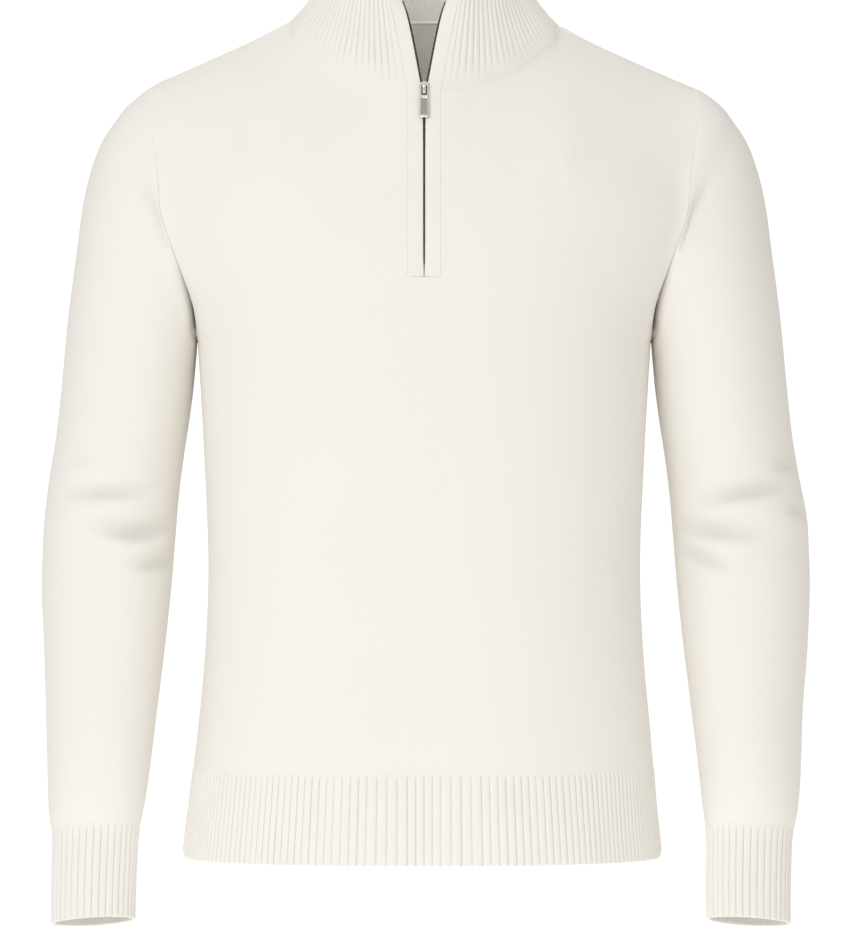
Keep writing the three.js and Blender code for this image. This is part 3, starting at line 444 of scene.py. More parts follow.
tapeWeave = tapeMaterial()
polishedMetal = metalMaterial("polishedMetal", "#cfccc7", "#f3f1ee", 0.16, 0.3, 900)
brushedMetal = metalMaterial("brushedMetal", "#8f8a83", "#a9a49c", 0.35, 0.5, 1500)
# a nearly black copy of the plated metal: painted shade for the slider's recess
shadedMetal = metalMaterial("shadedMetal", "#211e1b", "#3b3733", 0.3, 0.45, 1200)
# the teeth's near-black tone is partly dark metal and partly painted shade from the bands beside them
toothMetal = metalMaterial("toothMetal", "#2b2723", "#5a554e", 0.3, 0.5, 1200)
thread = threadMaterial()

# Cloth


# The two sides don't hang quite alike: the right shoulder sits higher, the hem is pulled in on the left and
# the left elbow stands out. How far each goes, and over what it fades in and out.
worn = {
    "shoulderLift": 3.1, "shoulderFrom": (-45, -95), "shoulderTo": (-205, -236), "shoulderHeights": (-150, -90),
    "hemPull": 3.2, "hemPlace": (120, 165, 205), "hemHeights": (545, 655),
    "elbowOut": 2.6, "elbowPlace": (235, 290), "elbowHeights": (355, 400, 490, 560),
}


def asWorn(points):
    x, z = points[..., 0], points[..., 2]
    lift = smoothStep(-x, -worn["shoulderFrom"][0], -worn["shoulderFrom"][1])
    lift = lift * (1 - smoothStep(-x, -worn["shoulderTo"][0], -worn["shoulderTo"][1]))
    lift = lift * smoothStep(z, *worn["shoulderHeights"]) * worn["shoulderLift"]
    pulled = smoothStep(x, *worn["hemPlace"][:2]) * (x < worn["hemPlace"][2])
    pulled = pulled * smoothStep(-z, *worn["hemHeights"]) * worn["hemPull"]
    low, full, fades, ends = worn["elbowHeights"]
    out = smoothStep(-z, low, full) * (1 - smoothStep(-z, fades, ends))
    out = out * smoothStep(x, *worn["elbowPlace"]) * worn["elbowOut"]
    return points + np.stack([out - pulled, np.zeros_like(x), lift], axis=-1)


# A wall of cloth between an outer and an inner net of points, with the flat cloth's metres as UVs and painted shade at
# its points
def clothShell(name, outer, inner, flat, material, ring=False, gone=None, paintedShade=None):
    rows, columns = outer.shape[:2]
    mesh = bmesh.new()
    bmesh.ops.create_grid(mesh, x_segments=columns - 1, y_segments=rows - 1, size=0.5)
    place = mesh.verts.layers.int.new("place")
    dark = mesh.verts.layers.float.new("paintedShade")
    uv = mesh.loops.layers.uv.new("knit")
    for vertex in mesh.verts:
        column = round((vertex.co.x + 0.5) * (columns - 1))
        row = round((vertex.co.y + 0.5) * (rows - 1))
        vertex[place] = row * columns + column
    flatPlaces = (flat * mm).reshape(-1, 2)
    for face in mesh.faces:
        face.smooth = True
        for loop in face.loops:
            loop[uv].uv = flatPlaces[loop.vert[place]]
    if gone is not None:
        cells = [f for f in mesh.faces if gone(*divmod(min(v[place] for v in f.verts), columns))]
        bmesh.ops.delete(mesh, geom=cells, context="FACES")
    outerPlaces = (asWorn(outer) * mm).reshape(-1, 3)
    innerPlaces = (asWorn(inner) * mm).reshape(-1, 3)
    for vertex in mesh.verts:
        vertex.co = outerPlaces[vertex[place]]
    if ring:
        ends = [v for v in mesh.verts if v[place] % columns in (0, columns - 1)]
        bmesh.ops.remove_doubles(mesh, verts=ends, dist=1e-5)
    made = bmesh.ops.solidify(mesh, geom=mesh.faces[:], thickness=cloth["wall"] * mm)
    backs = [g for g in made["geom"] if isinstance(g, bmesh.types.BMVert)]
    # painted shade at each point, and a weaker copy of it on the inner face
    shades = np.zeros(rows * columns) if paintedShade is None else paintedShade.ravel()
    for vertex in mesh.verts:
        vertex.co = outerPlaces[vertex[place]]
        vertex[dark] = shades[vertex[place]]
    for vertex in backs:
        vertex.co = innerPlaces[vertex[place]]
        vertex[dark] = 0.6 * shades[vertex[place]]
    mesh.normal_update()
    if mesh.calc_volume(signed=True) < 0:
        bmesh.ops.reverse_faces(mesh, faces=mesh.faces[:])
    for edge in mesh.edges:
        if edge.is_manifold and edge.calc_face_angle(0) > math.radians(55):
            edge.smooth = False
    return finishPiece(name, mesh, material)


def finishPiece(name, mesh, material):
    data = bpy.data.meshes.new(name)
    mesh.to_mesh(data)
    mesh.free()
    piece = bpy.data.objects.new(name, data)
    scene.collection.objects.link(piece)
    data.materials.append(material)
    return piece


# A piece of the garment's body, and the solid that it stands for, which is hidden
def join(piece, replaces=None):
    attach(piece, "garment")
    if replaces:
        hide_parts(replaces)
    return piece


# The flat cloth's places: across from the middle column, up along it
def flatOf(points, middle):
    across = np.concatenate([np.zeros((len(points), 1)),
                             np.cumsum(np.linalg.norm(np.diff(points, axis=1), axis=2), axis=1)], axis=1)
    across -= across[:, middle:middle + 1]
    up = np.concatenate([[0], np.cumsum(np.linalg.norm(np.diff(points[:, middle], axis=0), axis=1))])
    return np.stack([across, np.broadcast_to(up[:, None], across.shape)], axis=2)


# Distances from the first or the last row or column of a net
def distances(points, axis, backwards=False):
    gaps = np.linalg.norm(np.diff(points, axis=axis), axis=2)
    pad = [(0, 0), (0, 0)]
    if backwards:
        pad[axis] = (0, 1)
        return np.pad(np.flip(np.cumsum(np.flip(gaps, axis), axis=axis), axis), pad)
    pad[axis] = (1, 0)
    return np.pad(np.cumsum(gaps, axis=axis), pad)


# How far cloth dips beside a seam
def tuckIn(distance, depth=cloth["seamTuck"]):
    t = np.clip(1 - distance / cloth["seamReach"], 0, 1)
    return depth * t * t


# How far a free edge turns in on each face
def roundOff(distance, radius=cloth["edgeRound"]):
    t = np.clip(1 - distance / radius, 0, 1)
    return radius * (1 - np.sqrt(1 - t * t))


# The neck seam is drawn tight on the wearer's left and lies flat on the right
def neckTuck(x):
    return mix(0.1, 0.42, smoothStep(x, 12, 34))


# The sleeve and the body press into a deep crease along the lower armhole, front and back; the shade entries are
# painted shade in it
armpit = {
    "begins": -166, "full": -240, "fades": -238, "ends": -254, "depth": 12,
    "fill": 4.5, "fillFrom": (95, 140), "fillTo": (160, 210), "fillReach": 16,
    "sleeveReach": 8.5, "panelReach": 3.2, "shade": 0.85, "shadeReach": 6, "panelShade": 0.16, "panelShadeReach": 16,
}


# Above that crease the cloth on both sides of the seam swells a little, so that they run on into each other
def armpitCrease(seamHeight, distance, reach):
    depth = armpit["depth"] * smoothStep(-seamHeight, -armpit["begins"], -armpit["full"]) ** 2
    depth = depth * smoothStep(seamHeight, armpit["ends"], armpit["fades"])
    swell = smoothStep(-seamHeight, *armpit["fillFrom"]) * (1 - smoothStep(-seamHeight, *armpit["fillTo"]))
    swell = armpit["fill"] * swell * np.clip(1 - distance / armpit["fillReach"], 0, 1) ** 2
    return depth * np.clip(1 - distance / reach, 0, 1) ** 2 - swell


# Painted shade in the armpit crease, darkest at the seam and growing downwards
def armpitShade(seamHeight, distance, strength, reach):
    shade = strength * smoothStep(-seamHeight, -armpit["begins"], -armpit["full"]) ** 2
    return shade * np.clip(1 - distance / reach, 0, 1) ** 1.5


# How far points of a net are from a seam, and the seam's height where it is nearest to them
def nearSeam(points, seam):
    places = np.arange(len(seam))
    fine = np.linspace(0, len(seam) - 1, 8 * len(seam))
    dense = np.stack([np.interp(fine, places, seam[:, k]) for k in range(3)], axis=1)
    gaps = np.linalg.norm(points[:, :, None] - dense, axis=3)
    return gaps.min(axis=2), dense[gaps.argmin(axis=2), 2]


fineEnds = (0.02, 0.06, 0.14, 0.25, 0.4)  # parts of a step that carry a seam's dip
slotPlace = body["lowerRows"] + body["slotRow"]


def makePanel(name):
    surface = panels[name]
    face = -1 if name == "front" else 1
    lower, upper = body["lowerRows"], body["yokeRows"]
    rowSteps = np.concatenate([steps(lower, 10, (0.008, 0.016, 0.03), True, False),
                               lower + steps(upper, 8, (0.05, 0.15, 0.3), False, True)[1:]])
    rowSteps = np.unique(np.append(rowSteps, [slotPlace - 0.06, slotPlace - 0.02, slotPlace]))
    columnSteps = steps(2 * half + 1, 6, fineEnds)
    beside = [half - 0.06, half - 0.02, half + 1.02, half + 1.06]
    columnSteps = np.unique(np.concatenate([columnSteps, beside]))
    points = sample(surface, rowSteps, columnSteps)
    normals = normalsOf(points)
    # the last rows lie too close together for directions of their own
    settled = int(np.argmin(abs(rowSteps - (lower + upper - 0.3))))
    normals[settled + 1:] = normals[settled]
    fromSides = (distances(points, 1), distances(points, 1, True))
    sides = np.maximum(tuckIn(fromSides[0], cloth["armholeTuck"]), tuckIn(fromSides[1], cloth["armholeTuck"]))
    besideArm = (points[:, :1, 2] > body["armpit"]) * 1.0
    # painted shade on the body beside the armpit crease
    shade = np.zeros(points.shape[:2])
    for side, distance in zip((0, -1), fromSides):
        crease = armpitCrease(points[:, side, 2][:, None], distance, armpit["panelReach"])
        seamHeight = np.maximum(points[:, side, 2], body["armpit"] - 30)[:, None]
        below = smoothStep(points[:, side, 2], body["armpit"] - 60, body["armpit"])[:, None]
        shade += below * armpitShade(seamHeight, distance, armpit["panelShade"], armpit["panelShadeReach"])
        points[:, :, 1] -= face * crease * besideArm
    neck = np.where(abs(points[-1, :, 0]) < shoulder["neckHalf"], neckTuck(points[-1, :, 0]), 0.2)
    dip = np.maximum(sides, tuckIn(distances(points, 0, True), neck[None, :]))
    gone = None
    if face < 0:
        edges = [int(np.argmin(abs(columnSteps - place))) for place in (half, half + 1)]
        slotRow = int(np.argmin(abs(rowSteps - slotPlace)))
        gap = np.minimum(np.linalg.norm(points - points[:, edges[:1]], axis=2),
                         np.linalg.norm(points - points[:, edges[1:]], axis=2))
        within = (columnSteps >= half) & (columnSteps <= half + 1)
        below = np.maximum(points[slotRow, edges[0], 2] - points[:, :, 2], 0)
        dip = np.maximum(dip, tuckIn(np.hypot(np.where(within[None, :], 0, gap), below), 0.1))

        def gone(row, column):
            return row >= slotRow and edges[0] <= column < edges[1]
    outer = points - normals * dip[:, :, None]
    inner = points - normals * cloth["wall"]
    middle = int(np.argmin(abs(columnSteps - (half + 0.5))))
    piece = clothShell(name + "Panel", outer, inner, flatOf(points, middle), jersey, gone=gone, paintedShade=shade)
    return join(piece, name + "_panel")


frontPanel = makePanel("front")
backPanel = makePanel("back")
print("panels made")

# Ribs: a broad round crest between narrow grooves
ribPlaces = np.array([0, 0.05, 0.12, 0.24, 0.5, 0.76, 0.88, 0.95])  # parts of a rib, groove to groove


def ribHeight(phase):
    crest = np.abs(np.sin(np.pi * phase))
    return cloth["ribRise"] * (crest ** 0.5 - 0.65)


# Painted shade in the narrow grooves between ribs, a little stronger in some grooves than in others, as in a real rib
def ribShade(phase):
    near = np.round(phase)
    strength = 0.8 + 0.3 * np.sin(1.7 * near + 2.2 * np.sin(0.61 * near))
    return np.clip(1 - np.abs(phase - near) / 0.13, 0, 1) * strength * cloth["paintedShade"]


# Columns in steps of the net, and each one's place among the ribs
def ribColumns(stepCount, perStep):
    ribs = stepCount * perStep
    phases = np.concatenate([(np.arange(ribs)[:, None] + ribPlaces).ravel(), [ribs]])
    return phases / perStep, phases


# The hem turns up a little beside the side seams, which rounds its corners from the front
hem = {"cornerLift": 6.5, "cornerReach": 32, "cut": (0.46, 0.073)}


def makeHem(name):
    surface = panels[name]
    face = -1 if name == "front" else 1
    columnSteps, phases = ribColumns(2 * half + 1, 4)
    seam = sample(surface, np.array([0.0]), columnSteps)[0]
    drop = np.array([0, 0.6, 1.5, 3, 5, 8, *np.linspace(12, 64, 9), 68, 70, 70.8, 71.5, 72])
    span = body["hemSeam"] - body["hemEdge"]
    heights = body["hemSeam"] - drop
    net = np.zeros((len(heights), 2 * half + 2, 3))
    for m, height in enumerate(heights):
        for n in range(2 * half + 2):
            column = half - n if n <= half else n - half - 1
            x, y, z = lowerPoint(face, column, height)
            net[m, n] = (face if n <= half else -face) * x, y, z
    points = sample(surfaceOf(net), np.arange(len(heights), dtype=float), columnSteps)
    points[0] = seam
    toSide = np.minimum(distances(points, 1), distances(points, 1, True))
    corner = (1 - smoothStep(toSide, 0, hem["cornerReach"])) * hem["cornerLift"]
    points[:, :, 2] += corner * smoothStep(drop, 0, span)[:, None]
    points, drop = points[::-1], drop[::-1]
    normals = normalsOf(points)
    grow = smoothStep(drop, -0.5, 4)[:, None]
    ends = roundOff(span - drop)[:, None]
    sides = np.maximum(tuckIn(distances(points, 1)), tuckIn(distances(points, 1, True)))
    rise = ribHeight(phases)[None, :] * grow - ends - sides
    back = cloth["wall"] - ends + 0.3 * ribHeight(phases + 0.5)[None, :] * grow
    outer = points + normals * rise[:, :, None]
    inner = points - normals * back[:, :, None]
    paintedShade = ribShade(phases)[None, :] * grow
    flat = flatOf(points, len(columnSteps) // 2)
    piece = clothShell(name + "HemRib", outer, inner, flat, ribKnit, paintedShade=paintedShade)
    return join(piece, "hem_rib_" + name)


frontHem = makeHem("front")
backHem = makeHem("back")
print("hem made")

# Sleeves and cuffs, worked out for the wearer's left (+X)

sleeveSections = tableOf(
    "at outerX outerZ innerX innerZ depth middle tip",
    (1, 242, -69.5, 181.6, -254.6, 63, 5, 0),
    (2, 259.8, -97, 181.8, -257, 64, 6, 0),
    (3, 272, -137, 182.2, -262, 65, 7, 0),
    (4, 279, -186, 183.2, -272, 65, 8, 0),
    (5, 285.5, -236, 184.9, -290, 64, 9, 0),
    (6, 290, -283, 188.3, -316, 62, 10, 0),
    (7, 295, -328, 192.8, -345, 60, 12, -3),
    (8, 301.5, -368, 197, -378, 58, 14, -2),
    (9, 305.5, -408, 199.5, -408, 56, 14, 2),
    (10, 306.5, -448, 201.9, -440, 54, 10, 7),
    (11, 304.5, -492, 205.8, -482, 51, 3, 10),
    (12, 302.5, -536, 210.8, -526, 48, -5, 11),
    (13, 300.8, -580, 216, -571, 44, -14, 11.5),
    (14, 299.3, -611, 219.7, -604, 40, -20.5, 12),
    (15, 297.4, -631, 222.6, -626, 34.5, -24.8, 12),
    (16, 294.8, -643, 224.9, -639.5, 29.5, -26.8, 12),
)
cuffSections = tableOf(
    "at outerX outerZ innerX innerZ depth middle tip",
    (1, 293.6, -652, 225.7, -648.5, 27.2, -28.6, 12),
    (2, 292.6, -716, 226.5, -712, 26.5, -42, 12),
)
# The forearms don't hang quite alike: how far each cuff swings out, and the heights over which it does
swing = {"right": 2.8, "left": -2.6, "from": 585, "to": 700}

# Elbow folds: height of the middle, place round the sleeve in degrees (0 outside, 90 front), reach to each
# side, drop and bow over the reach, half width and depth
foldColumns = "height around reach drop bow halfWidth depth"
folds = {
    "right": tableOf(
        foldColumns,
        (-377, 90, 62, 0, 3, 9, 4.2),
        (-409, 120, 58, -1, 13, 11, 5.4),
        (-434, 142, 42, 2, 4, 9, 3.4),
        (-350, 58, 30, 0, 0, 10, 0.9),
        (-392, 262, 55, 5, 6, 11, 2.8),
        (-424, 225, 45, -5, 8, 10, 2.8),
    ),
    "left": tableOf(
        foldColumns,
        (-377, 84, 68, -10, -2, 10, 4.8),
        (-408, 114, 64, 3, 4, 10, 4.6),
        (-429, 130, 42, 9, 0, 9, 3.4),
        (-354, 36, 30, 0, 0, 9, 2),
        (-391, 30, 28, 3, 0, 8, 2.2),
        (-398, 250, 60, 7, 7, 11, 2.8),
        (-430, 222, 45, -4, 6, 10, 2.6),
    ),
}
foldShape = {"shoulder": 0.85, "above": 1.5, "below": 0.55, "depth": 1.25}

# A short crease that runs down the front and the back of each sleeve head into the armpit
headCrease = {
    "path": tableOf("x height", (226, -128), (219, -141), (211.5, -153), (206, -168), (203, -178)),
    "halfWidth": 4.4, "depth": 3.4, "mirrored": 0.8,
}


# Sections of a sleeve or cuff at places of its table, round at the given angles
def tubeSection(table, at, degrees):
    columns = {key: readTable(table, "at", key, at)[:, None] for key in table[0] if key != "at"}
    turn = np.radians(degrees)[None, :]
    share = (1 + np.cos(turn)) / 2
    forward = columns["depth"] * np.sin(turn)
    tip = np.radians(columns["tip"])
    return np.stack([
        mix(columns["innerX"], columns["outerX"], share),
        columns["middle"] - forward * np.cos(tip),
        mix(columns["innerZ"], columns["outerZ"], share) + forward * np.sin(tip),
    ], axis=2)


def swingOut(points, side):
    points[:, :, 0] += swing[side] * smoothStep(-points[:, :, 2], swing["from"], swing["to"])
    return points


def foldDepth(table, heights, degrees):
    total = np.zeros_like(heights)
    for fold in table:
        turn = (degrees - fold["around"] + 540) % 360 - 180
        along = np.clip(turn / fold["reach"], -1, 1)
        middle = fold["height"] + fold["drop"] * along + fold["bow"] * along ** 2
        across = (heights - middle) / fold["halfWidth"]
        across = across / np.where(across > 0, foldShape["above"], foldShape["below"])
        trough = (1 - foldShape["shoulder"] * across ** 2) * np.exp(-across ** 2)
        total -= foldShape["depth"] * fold["depth"] * np.cos(along * np.pi / 2) ** 2 * trough
    return total


# How deep the sleeve head's crease is at points seen from the front, deepest at its lower end
def headCreaseDepth(points, degrees):
    path = np.array([[row["x"], row["height"]] for row in headCrease["path"]], float)
    places = points[:, :, [0, 2]]
    nearest = np.full(places.shape[:2], 1e9)
    along = np.zeros(places.shape[:2])
    for n, (a, b) in enumerate(zip(path, path[1:])):
        t = np.clip(((places - a) @ (b - a)) / ((b - a) @ (b - a)), 0, 1)
        gap = np.linalg.norm(places - (a + t[:, :, None] * (b - a)), axis=2)
        along = np.where(gap < nearest, (n + t) / (len(path) - 1), along)
        nearest = np.minimum(nearest, gap)
    strength = np.where(degrees > 0, 1.0, headCrease["mirrored"])
    trough = np.exp(-(nearest / headCrease["halfWidth"]) ** 2)
    return headCrease["depth"] * strength * trough * np.sin(np.pi * mix(0.05, 0.8, along))


# The armhole from the underarm up the back, over the shoulder and down the front, with its angles
def armholeRing():
    upper = body["yokeRows"]
    rowSteps = steps(upper, 6, (0.05, 0.15, 0.3), False, True)
    first = body["lowerRows"]
    frontEdge = sample(panels["front"], first + rowSteps, np.array([2 * half + 1.0]))[:, 0]
    backEdge = sample(panels["back"], first + rowSteps, np.array([0.0]))[:, 0]
    turn = rowSteps / upper * 180
    points = np.concatenate([backEdge[:-1], frontEdge[::-1]])
    degrees = np.concatenate([180 + turn[:-1], 540 - turn[::-1]])
    return points, degrees


headRound = 1.3  # how full the sleeve head is between the shoulder seam and the arm
# painted shade: folds are painted darker by foldShade for each millimetre of depth
foldShade = 0.026  # how much darker a fold is for each millimetre of depth


def makeSleeve(side):
    ring, degrees = armholeRing()
    places = np.linspace(1, 16, 61)
    sections = swingOut(tubeSection(sleeveSections, places, degrees), side)
    # under the arm the sleeve starts from the side seam's own depth
    underarm = (1 - np.cos(np.radians(degrees))) / 2
    near = 1 - smoothStep(places, 1, 5)
    sections[:, :, 1] -= np.outer(readTable(sleeveSections, "at", "middle", places) * near, underarm ** 2)
    between = mix(ring, sections[0], 0.5)
    outwards = normalsOf(np.stack([ring, sections[0]]), ring=True)[0]
    between = between + outwards * (headRound * (1 + np.cos(np.radians(degrees))) / 2)[:, None]
    net = np.concatenate([ring[None], between[None], sections])
    rowKnots = np.concatenate([[0], np.cumsum(np.linalg.norm(np.diff(net, axis=0), axis=2).mean(1))])
    length = rowKnots[-1]
    along = np.unique(np.concatenate([[0, 0.4, 1, 1.8, 3, 4.5], np.linspace(6, length - 3, 200),
                                      [length - 1.8, length - 1, length - 0.4, length]]))
    weights = splineWeights(rowKnots, along)
    points = np.einsum("ij,jkc->ikc", weights, net)
    normals = normalsOf(points, ring=True)
    front = np.where(degrees > 360, 1.0, -1.0)[None, :]
    fade = smoothStep(along, 2, 30)[:, None]
    turned = np.broadcast_to(degrees % 360, points.shape[:2])
    folded = foldDepth(folds[side], points[:, :, 2], turned) * fade
    folded -= headCreaseDepth(points, front) * smoothStep(along, 0, 7)[:, None]
    rows = int(np.searchsorted(along, 70))
    # painted shade in the folds and, near the armhole, in the armpit crease
    shade = np.clip(-folded * foldShade, 0, 0.4)
    for held, seam in ((degrees <= 360, ring[degrees <= 360]), (degrees > 360, ring[degrees >= 360])):
        gap, height = nearSeam(points[:rows, held], seam)
        shade[:rows, held] += armpitShade(height, gap, armpit["shade"], armpit["shadeReach"])
        crease = armpitCrease(height, gap, armpit["sleeveReach"])
        points[:rows, held, 1] += front[:, held] * crease
    dip = np.maximum(tuckIn(along, cloth["armholeTuck"]), tuckIn(length - along, 0.1))[:, None]
    base = points + normals * folded[:, :, None]
    flip = np.array([1 if side == "left" else -1, 1, 1])
    outer = (base - normals * dip[:, :, None]) * flip
    inner = (base - normals * cloth["wall"]) * flip
    flat = flatOf(points, int(np.argmin(abs(degrees - 360))))
    piece = clothShell("sleeve" + side.capitalize(), outer, inner, flat, jersey, ring=True, paintedShade=shade)
    return join(piece, "sleeve_" + side)


sleeves = {side: makeSleeve(side) for side in ("left", "right")}
print("sleeves made")


def makeCuff(side):
    ribs = 36
    phases = np.concatenate([(np.arange(ribs)[:, None] + ribPlaces).ravel(), [ribs]])
    degrees = 180 + phases / ribs * 360
    seam = tubeSection(sleeveSections, np.array([16.0]), degrees)
    places = np.array([1, *np.linspace(1.08, 1.9, 12), 1.95, 1.972, 1.985, 1.995, 2])
    sections = tubeSection(cuffSections, places, degrees)
    between = [mix(seam, sections[:1], share) for share in (0.08, 0.2, 0.4, 0.7)]
    points = swingOut(np.concatenate([seam, *between, sections]), side)
    normals = normalsOf(points, ring=True)
    grow = smoothStep(distances(points, 0), -0.5, 5)
    ends = roundOff(distances(points, 0, True))
    rise = ribHeight(phases)[None, :] * grow - ends
    back = cloth["wall"] - ends + 0.3 * ribHeight(phases + 0.5)[None, :] * grow
    flip = np.array([1 if side == "left" else -1, 1, 1])
    outer = (points + normals * rise[:, :, None]) * flip
    inner = (points - normals * back[:, :, None]) * flip
    flat = flatOf(points, len(phases) // 2)
    paintedShade = ribShade(phases)[None, :] * grow
    name = "cuff" + side.capitalize()
    piece = clothShell(name, outer, inner, flat, ribKnit, ring=True, paintedShade=paintedShade)
    return join(piece, "cuff_" + side)


cuffs = {side: makeCuff(side) for side in ("left", "right")}
print("cuffs made")

# Collar

collar = {
    "halfWidth": 68, "frontDepth": 64, "backDepth": 58, "middleY": 1, "openAngle": 24,
    "frontTop": 17, "backTop": 80, "climb": 0.6, "straight": 0.8, "cut": (0.46, 0.105, 0.042),
}
collarLean = tableOf("angle lean", (24, 0.85), (90, 1.75), (180, 1.15))
neckSteps = 4 * body["neckColumns"] + 1


# Points of the neck seam, from the zip on the wearer's left round the back to the zip on the right
def neckline(places):
    top = np.array([len(panelRows) - 1.0])
    side = body["neckColumns"]
    points = np.zeros((len(places), 3))
    chains = (
        ("front", 0, side, half + 1, 1),
        ("back", side, neckSteps - side, half - 2 * side, 1),
        ("front", neckSteps - side, neckSteps, half - neckSteps, 1),
    )
    for name, low, high, shift, step in chains:
        held = (places >= low) & (places <= high)
        points[held] = sample(panels[name], top, step * places[held] + shift)[0]
    return points


def collarPoints(seam, share, ups):
    angle = np.radians(mix(collar["openAngle"], 360 - collar["openAngle"], share))
    ahead = np.cos(angle)
    start = math.cos(math.radians(collar["openAngle"]))
    depth = np.where(ahead > 0, collar["frontDepth"], collar["backDepth"])
    climb = np.maximum((start - ahead) / (start + 1), 0) ** collar["climb"]
    top = np.stack([collar["halfWidth"] * np.sin(angle), collar["middleY"] - depth * ahead,
                    mix(collar["frontTop"], collar["backTop"], climb)], axis=1)
    degrees = np.degrees(angle)
    lean = readTable(collarLean, "angle", "lean", np.minimum(degrees, 360 - degrees))
    ups = np.asarray(ups, float)[:, None]
    near = collar["straight"]
    inward = ((1 - (1 - near * ups) ** lean[None, :]) / (1 - (1 - near) ** lean[None, :]))[:, :, None]
    points = mix(seam[None], top[None], inward)
    points[:, :, 2] = mix(seam[None, :, 2], top[None, :, 2], ups)
    return points


def makeCollar():
    columnSteps, phases = ribColumns(neckSteps, 4)
    seam = neckline(columnSteps)
    ups = np.unique(np.concatenate([[0, 0.008, 0.02, 0.04], np.linspace(0.07, 0.95, 26),
                                    [0.97, 0.982, 0.992, 1]]))
    points = collarPoints(seam, columnSteps / neckSteps, ups)
    normals = normalsOf(points)
    fromSides = np.minimum(distances(points, 1), distances(points, 1, True))
    grow = smoothStep(ups, 0.02, 0.3)[:, None] * smoothStep(fromSides, 1, 9)
    ends = roundOff(distances(points, 0, True))
    seams = np.maximum(tuckIn(distances(points, 0), neckTuck(seam[:, 0])[None, :]), tuckIn(fromSides, 0.12))
    rise = ribHeight(phases)[None, :] * grow - np.maximum(ends, seams)
    back = cloth["wall"] - ends + 0.5 * ribHeight(phases + 0.5)[None, :] * grow
    outer = points + normals * rise[:, :, None]
    inner = points - normals * back[:, :, None]
    paintedShade = ribShade(phases)[None, :] * grow
    flat = flatOf(points, len(columnSteps) // 2)
    piece = clothShell("standCollar", outer, inner, flat, ribKnit, paintedShade=paintedShade)
    return join(piece, "collar")


standCollar = makeCollar()
print("collar made")

# The neck seam's allowance shows inside the open collar as a low ridge
ridge = {"halfWidth": 1.3, "rise": 0.6, "behind": 2.45, "stations": 9}


def makeNeckRidge():
    places = np.linspace(0, neckSteps, 181)
    seam = neckline(places)
    inward = np.stack([-seam[:, 0], -seam[:, 1], np.zeros(len(seam))], axis=1)
    inward = unit(inward)
    share = np.linspace(-1, 1, ridge["stations"])[:, None, None]
    up = np.array([0, 0, ridge["halfWidth"]])
    base = seam[None] + inward[None] * ridge["behind"] + share * up
    outer = base + inward[None] * ridge["rise"] * np.sqrt(np.maximum(1 - share ** 2, 0.02))
    piece = clothShell("neckSeamRidge", outer, base - inward[None] * 0.2, flatOf(outer, 90), bandKnit)
    return join(piece)


neckRidge = makeNeckRidge()
print("neck seam ridge made")

# Zip: bands, tapes, teeth, stops, slider and pull tab, worked out for the wearer's left

fastener = {
    "bandWidth": 11.2, "rise": 0.15, "crown": 0.45, "sewnEdge": 0.06, "sewnRound": 0.2, "freeRound": 0.9,
    "tapeInset": 0.6, "tapeGap": 0.5, "tapeWall": 1,
    "bottomHalf": 0.2, "closedHalf": 0.8, "sliderHalf": 1.1, "closing": (-204.5, -193), "opening": (-115, -62),
    "bandCut": (0.0125, 0.237), "tapeCut": (0.0115, 0.236),
}
tooth = {
    "pitch": 2.3, "height": 1.15, "bevel": 0.18, "first": -194, "topMargin": 2.5,
    "head": (-0.35, 1.05), "openReach": 0.55, "headDepth": (0.8, 3.4), "clamp": (-1.9, -0.2), "clampDepth": (2.5, 4.3),
}


# The edge that a band is sewn to: up the side of the opening, then the collar's front edge. Each row has its
# point, the direction out of the cloth, the direction towards the mid-line and the width of the band there.
def bandEdge():
    top = len(panelRows) - 1.0
    rows = np.linspace(slotPlace, top, 90)
    opening = sample(panels["front"], rows, half + np.array([0.97, 1.0, 1.03]))
    out = normalsOf(opening)[:, 1] * [0, 1, 1]
    width = body["slotHalf"] - halfGap(opening[:, 1, 2])
    opening = opening[:, 1]
    inward = np.tile([-1.0, 0, 0], (len(rows), 1))
    ups = np.linspace(0.02, 1, 44)
    shares = np.array([0, 0.004, 0.008])
    side = collarPoints(neckline(shares * neckSteps), shares, ups)
    sideOut = unit(normalsOf(side)[:, 0] * np.stack([ups, np.ones_like(ups), np.ones_like(ups)], axis=1))
    along = np.gradient(side[:, 0], axis=0)
    points = np.concatenate([opening, side[:, 0]])
    out = np.concatenate([unit(out), sideOut])
    inward = np.concatenate([inward, unit(np.cross(sideOut, along))])
    width = np.concatenate([width, np.full(len(ups), float(fastener["bandWidth"]))])
    for _ in range(40):
        for values in (out, inward, width):
            values[1:-1] += 0.5 * ((values[:-2] + values[2:]) / 2 - values[1:-1])
    return points, unit(out), unit(inward), width


def halfGap(height):
    gap = mix(fastener["bottomHalf"], fastener["closedHalf"], smoothStep(height, *fastener["closing"]))
    return mix(gap, fastener["sliderHalf"], smoothStep(height, *fastener["opening"]))


def makeStrip(name, side, across, front, back, material):
    points, out, inward, width = bandEdge()
    lie = points[:, None] + inward[:, None] * across(width)[:, :, None]
    outer = lie + out[:, None] * front(width)[:, :, None]
    inner = lie + out[:, None] * back(width)[:, :, None]
    flip = np.array([1 if side == "left" else -1, 1, 1])
    flat = flatOf(lie, lie.shape[1] // 2)
    piece = clothShell(name + side.capitalize(), outer * flip, inner * flip, flat, material)
    node = {"zipBand": "zip_band_", "zipTape": "zip_tape_"}[name] + side
    return join(piece, node)


